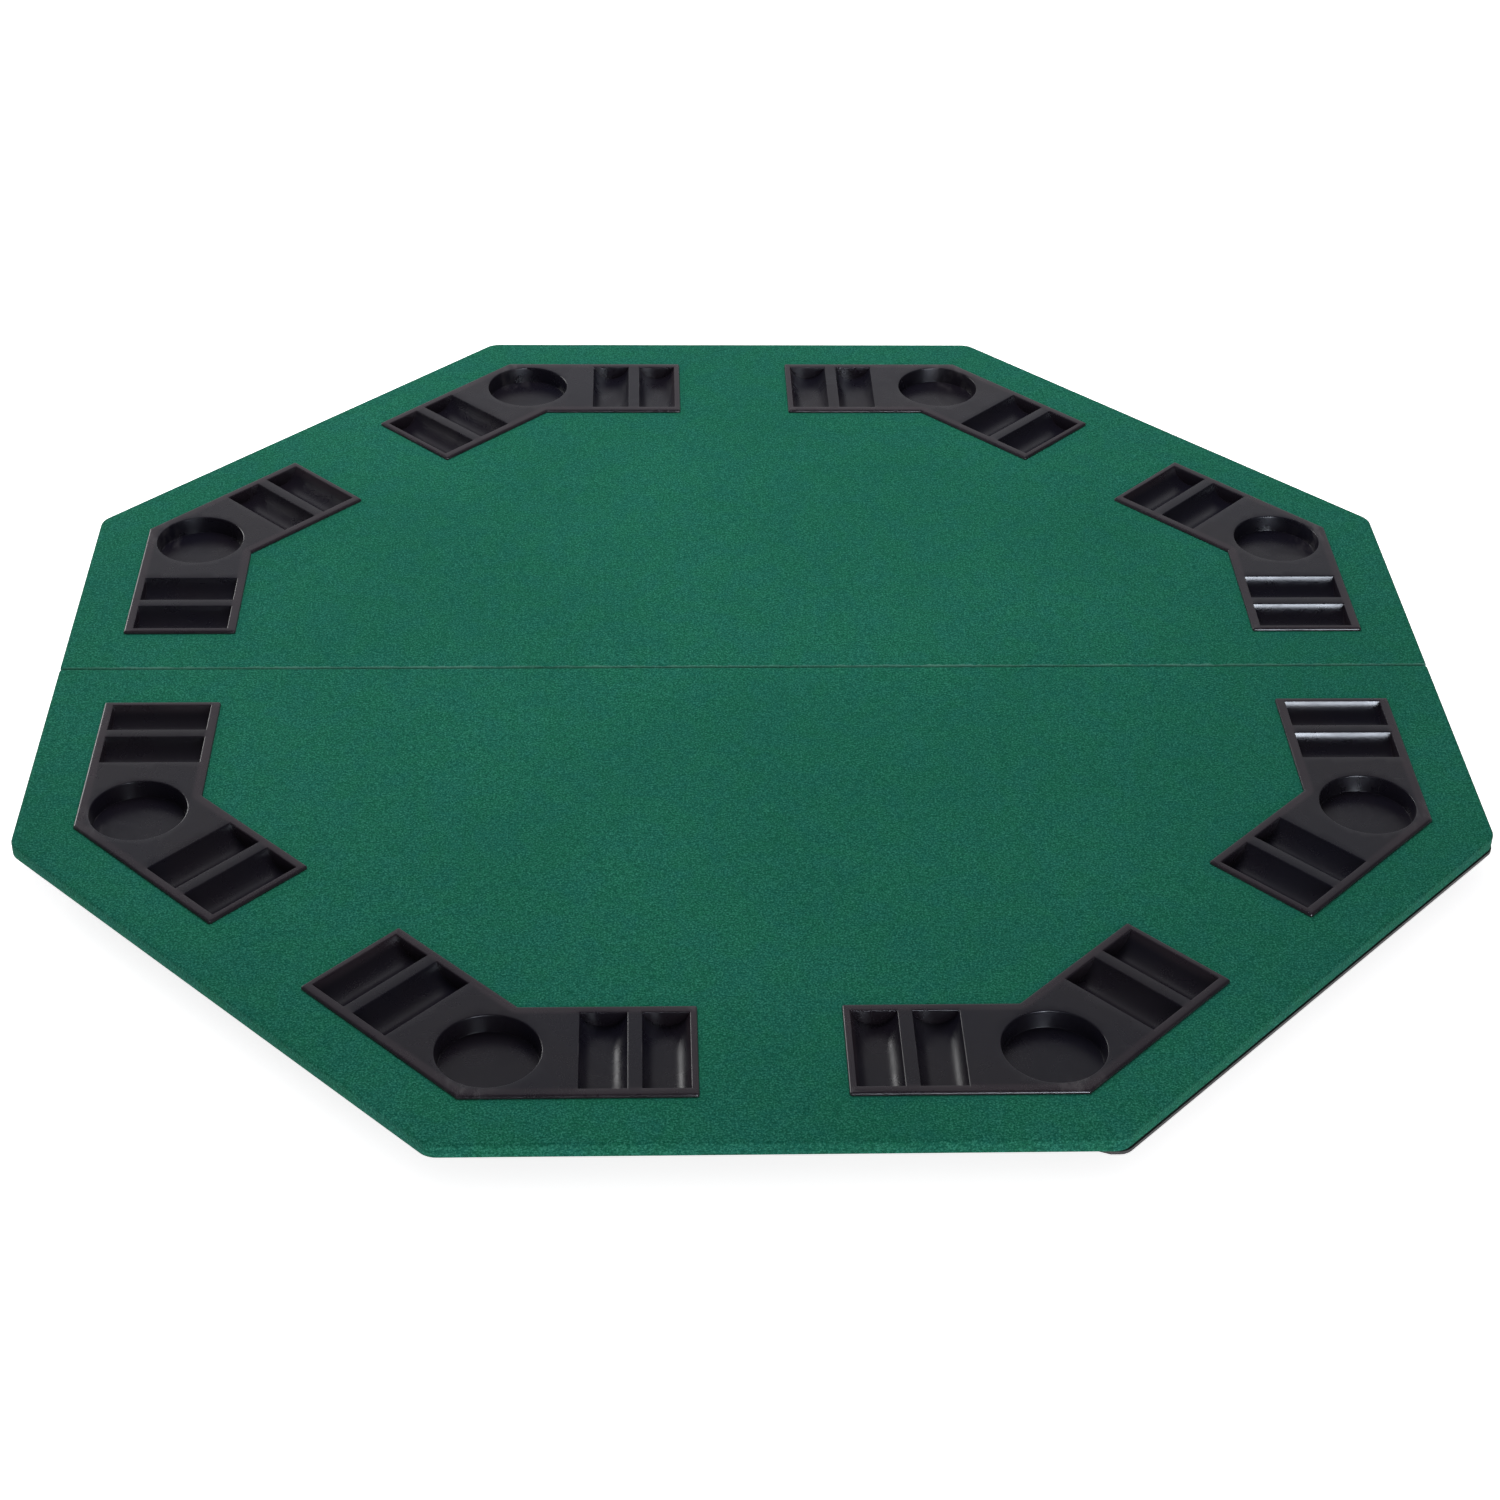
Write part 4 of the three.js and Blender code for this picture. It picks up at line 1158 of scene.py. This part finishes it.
panel_inset = APOTHEM - BOARD_HIGH.x
boards = make_panel("board", panel_inset, BOARD_LOW.y - SEAM_Y, tray_loops(3.4 * MM), BOARD_HIGH.z,
                    BOARD_HIGH.z - BOARD_LOW.z, 0.5 * MM)
backings = make_panel("backing", APOTHEM - BACKING_HIGH.x, BACKING_LOW.y - SEAM_Y, cup_loops(44 * MM),
                      BACKING_HIGH.z, BACKING_HIGH.z - BACKING_LOW.z, 0.4 * MM)
# The front backing stands 1.2 mm out past the felt along its lower right edge only, as a dark line under that edge.
widen(backings[1], -math.pi / 4, APOTHEM - BACKING_HIGH.x + 1.2 * MM)
for leaf, board, backing in zip(("rear", "front"), boards, backings):
    attach(board, f"{leaf}_leaf", [f"board_{leaf}"], FIBREBOARD)
    attach(backing, f"{leaf}_leaf", [f"backing_panel_{leaf}"], HARDBOARD)
make_trays(PLASTIC)


def centre_of(node):
    low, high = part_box(node)
    return (low + high) / 2


def place_copy(node, name, mesh, material, body, at, turn=0.0):
    """A copy of a mesh in the place of a CAD node, with the place in its vertices."""
    own = mesh.copy()
    own.transform(Matrix.Translation((at[0], at[1], 0)) @ Matrix.Rotation(turn, 4, "Z"))
    return attach(link(name, own), body, [node], material)


SCREW_MESH = make_screw()
STUD_MESH = make_stud()
WASHER_MESH = make_washer()
PIN_MESH = make_pin()
FOOT_MESH = make_foot()
HINGE_MESHES = {"rear": make_hinge_leaf(True), "front": make_hinge_leaf(False)}

for number in (1, 2, 3):
    at = (centre_of(f"hinge_{number}_leaf_rear").x, 0)
    place_copy(f"hinge_{number}_pin", f"hinge_{number}_pin_turned", PIN_MESH, STEEL, "rear_leaf", at)
    for leaf, turn in LEAVES.items():
        place_copy(f"hinge_{number}_leaf_{leaf}", f"hinge_{number}_leaf_{leaf}_pressed", HINGE_MESHES[leaf], STEEL,
                   f"{leaf}_leaf", at, turn)
        for k in (1, 2):
            node = f"hinge_{number}_screw_{leaf}_{k}"
            place_copy(node, f"{node}_cross_head", SCREW_MESH, STEEL, f"{leaf}_leaf", centre_of(node),
                       0.7 * number + 1.3 * k + turn / 3)
for leaf in LEAVES:
    for k in range(1, 7):
        node = f"rubber_foot_{leaf}_{k}"
        place_copy(node, f"{node}_moulded", FOOT_MESH, RUBBER, f"{leaf}_leaf", centre_of(node), 0.9 * k)
for side, label in ((-1, "left"), (1, "right")):
    pivot = centre_of(f"hook_pivot_{label}")
    place_copy(f"hook_{label}", f"hook_{label}_stamped", make_hook(side), STEEL, f"{label}_hook", pivot)
    place_copy(f"hook_pivot_{label}", f"hook_pivot_{label}_stud", STUD_MESH, STEEL, "rear_leaf", pivot, 0.5)
    place_copy(f"hook_washer_{label}", f"hook_washer_{label}_ring", WASHER_MESH, STEEL, "rear_leaf", pivot)
    place_copy(f"hook_catch_{label}", f"hook_catch_{label}_stud", STUD_MESH, STEEL, "front_leaf",
               centre_of(f"hook_catch_{label}"), 1.1)


# ---- Floor, light and camera ----

FLOOR = -19.5 * MM
FLOOR_GLOW = 0.72


def make_stage():
    floor_mesh = bpy.data.meshes.new("floor")
    floor_mesh.from_pydata([(x * 9, y * 9, FLOOR) for x, y in ((-1, -1), (1, -1), (1, 1), (-1, 1))], [], [(0, 1, 2, 3)])
    floor = link("floor", floor_mesh)
    look = Look("pale_floor")
    grain = look.noise(look.place, 6.0, 3.0, 0.5)
    look.finish(color=look.mix(grain, (0.93, 0.93, 0.93), (0.95, 0.95, 0.95)), roughness=0.9, specular=0.1)
    look.surface.inputs["Emission Color"].default_value = (1, 1, 1, 1)
    look.surface.inputs["Emission Strength"].default_value = FLOOR_GLOW
    # Seen from below, the floor lets the underside of the table be looked at.
    geometry = look.tree.nodes.new("ShaderNodeNewGeometry")
    clear = look.node("BsdfTransparent")
    blend = look.tree.nodes.new("ShaderNodeMixShader")
    look.feed(blend.inputs[0], geometry.outputs["Backfacing"])
    look.feed(blend.inputs[1], look.surface.outputs[0])
    look.feed(blend.inputs[2], clear)
    look.tree.links.new(blend.outputs[0], look.output.inputs["Surface"])
    floor.data.materials.append(look.material)


def softbox(name, place, target, width, height, power, tint=(1, 1, 1)):
    light = bpy.data.lights.new(name, "AREA")
    light.shape = "RECTANGLE"
    light.size, light.size_y = width, height
    light.energy = power
    light.color = tint
    lamp = bpy.data.objects.new(name, light)
    bpy.context.scene.collection.objects.link(lamp)
    lamp.location = Vector(place)
    lamp.rotation_euler = (Vector(target) - lamp.location).to_track_quat("-Z", "Y").to_euler()
    return lamp


def make_light():
    world = bpy.data.worlds.new("studio")
    world.use_nodes = True
    tree = world.node_tree
    background = tree.nodes["Background"]
    background.inputs["Color"].default_value = (0.97, 0.97, 1, 1)
    # The room lights the table evenly. In reflections it is dark, but for the pale sweep behind the table.
    path = tree.nodes.new("ShaderNodeLightPath")
    strength = tree.nodes.new("ShaderNodeMapRange")
    strength.inputs["To Min"].default_value = 0.34
    place = tree.nodes.new("ShaderNodeTexCoord")
    parts = tree.nodes.new("ShaderNodeSeparateXYZ")
    sweep = tree.nodes.new("ShaderNodeMapRange")
    sweep.interpolation_type = "SMOOTHSTEP"
    sweep.inputs["From Min"].default_value = 0.45
    sweep.inputs["From Max"].default_value = 0.95
    sweep.inputs["To Min"].default_value = 0.03
    sweep.inputs["To Max"].default_value = 0.57
    tree.links.new(place.outputs["Generated"], parts.inputs[0])
    tree.links.new(parts.outputs["Y"], sweep.inputs["Value"])
    tree.links.new(sweep.outputs[0], strength.inputs["To Max"])
    tree.links.new(path.outputs["Is Glossy Ray"], strength.inputs["Value"])
    seen = tree.nodes.new("ShaderNodeMath")
    seen.operation = "MAXIMUM"
    tree.links.new(path.outputs["Is Camera Ray"], seen.inputs[0])
    tree.links.new(strength.outputs[0], seen.inputs[1])
    tree.links.new(seen.outputs[0], background.inputs["Strength"])
    bpy.context.scene.world = world
    # The overhead box lights the cloth, and the low ones are there for the gleams in the trays.
    overhead = softbox("overhead", (-0.15, 0.6, 1.7), (-0.05, 0.15, 0), 1.5, 1.3, 34.5)
    overhead.visible_glossy = False
    fill = softbox("front_fill", (0.5, -2.6, 0.6), (0.1, -0.3, 0), 1.8, 1.0, 20)
    fill.visible_glossy = False
    # Its grid keeps this box to the trays on the right.
    gleam = softbox("front_gleam", (1.35, -2.9, 0.55), (0.52, 0.03, 0), 1.5, 1.1, 6.6, (0.82, 0.89, 1.0))
    gleam.data.spread = math.radians(34)
    gleam.visible_diffuse = False
    softbox("back_left", (-2.1, 1.7, 0.62), (-0.1, -0.4, 0), 1.3, 1.1, 20)


def make_camera():
    data = bpy.data.cameras.new("camera")
    data.sensor_width = 36
    data.lens = 69.19
    camera = bpy.data.objects.new("camera", data)
    bpy.context.scene.collection.objects.link(camera)
    right = Vector((0.99926, -0.03333, 0.01895))
    up = Vector((0.00414, 0.58517, 0.81090))
    back = -Vector((0.03812, 0.81022, -0.58488))
    turn = Matrix((right, up, back)).transposed().to_4x4()
    camera.matrix_world = Matrix.Translation((-0.09779, -2.12608, 1.44280 + FELT_TOP)) @ turn
    bpy.context.scene.camera = camera
    bpy.context.scene.view_settings.view_transform = "Standard"


make_stage()
make_light()
make_camera()
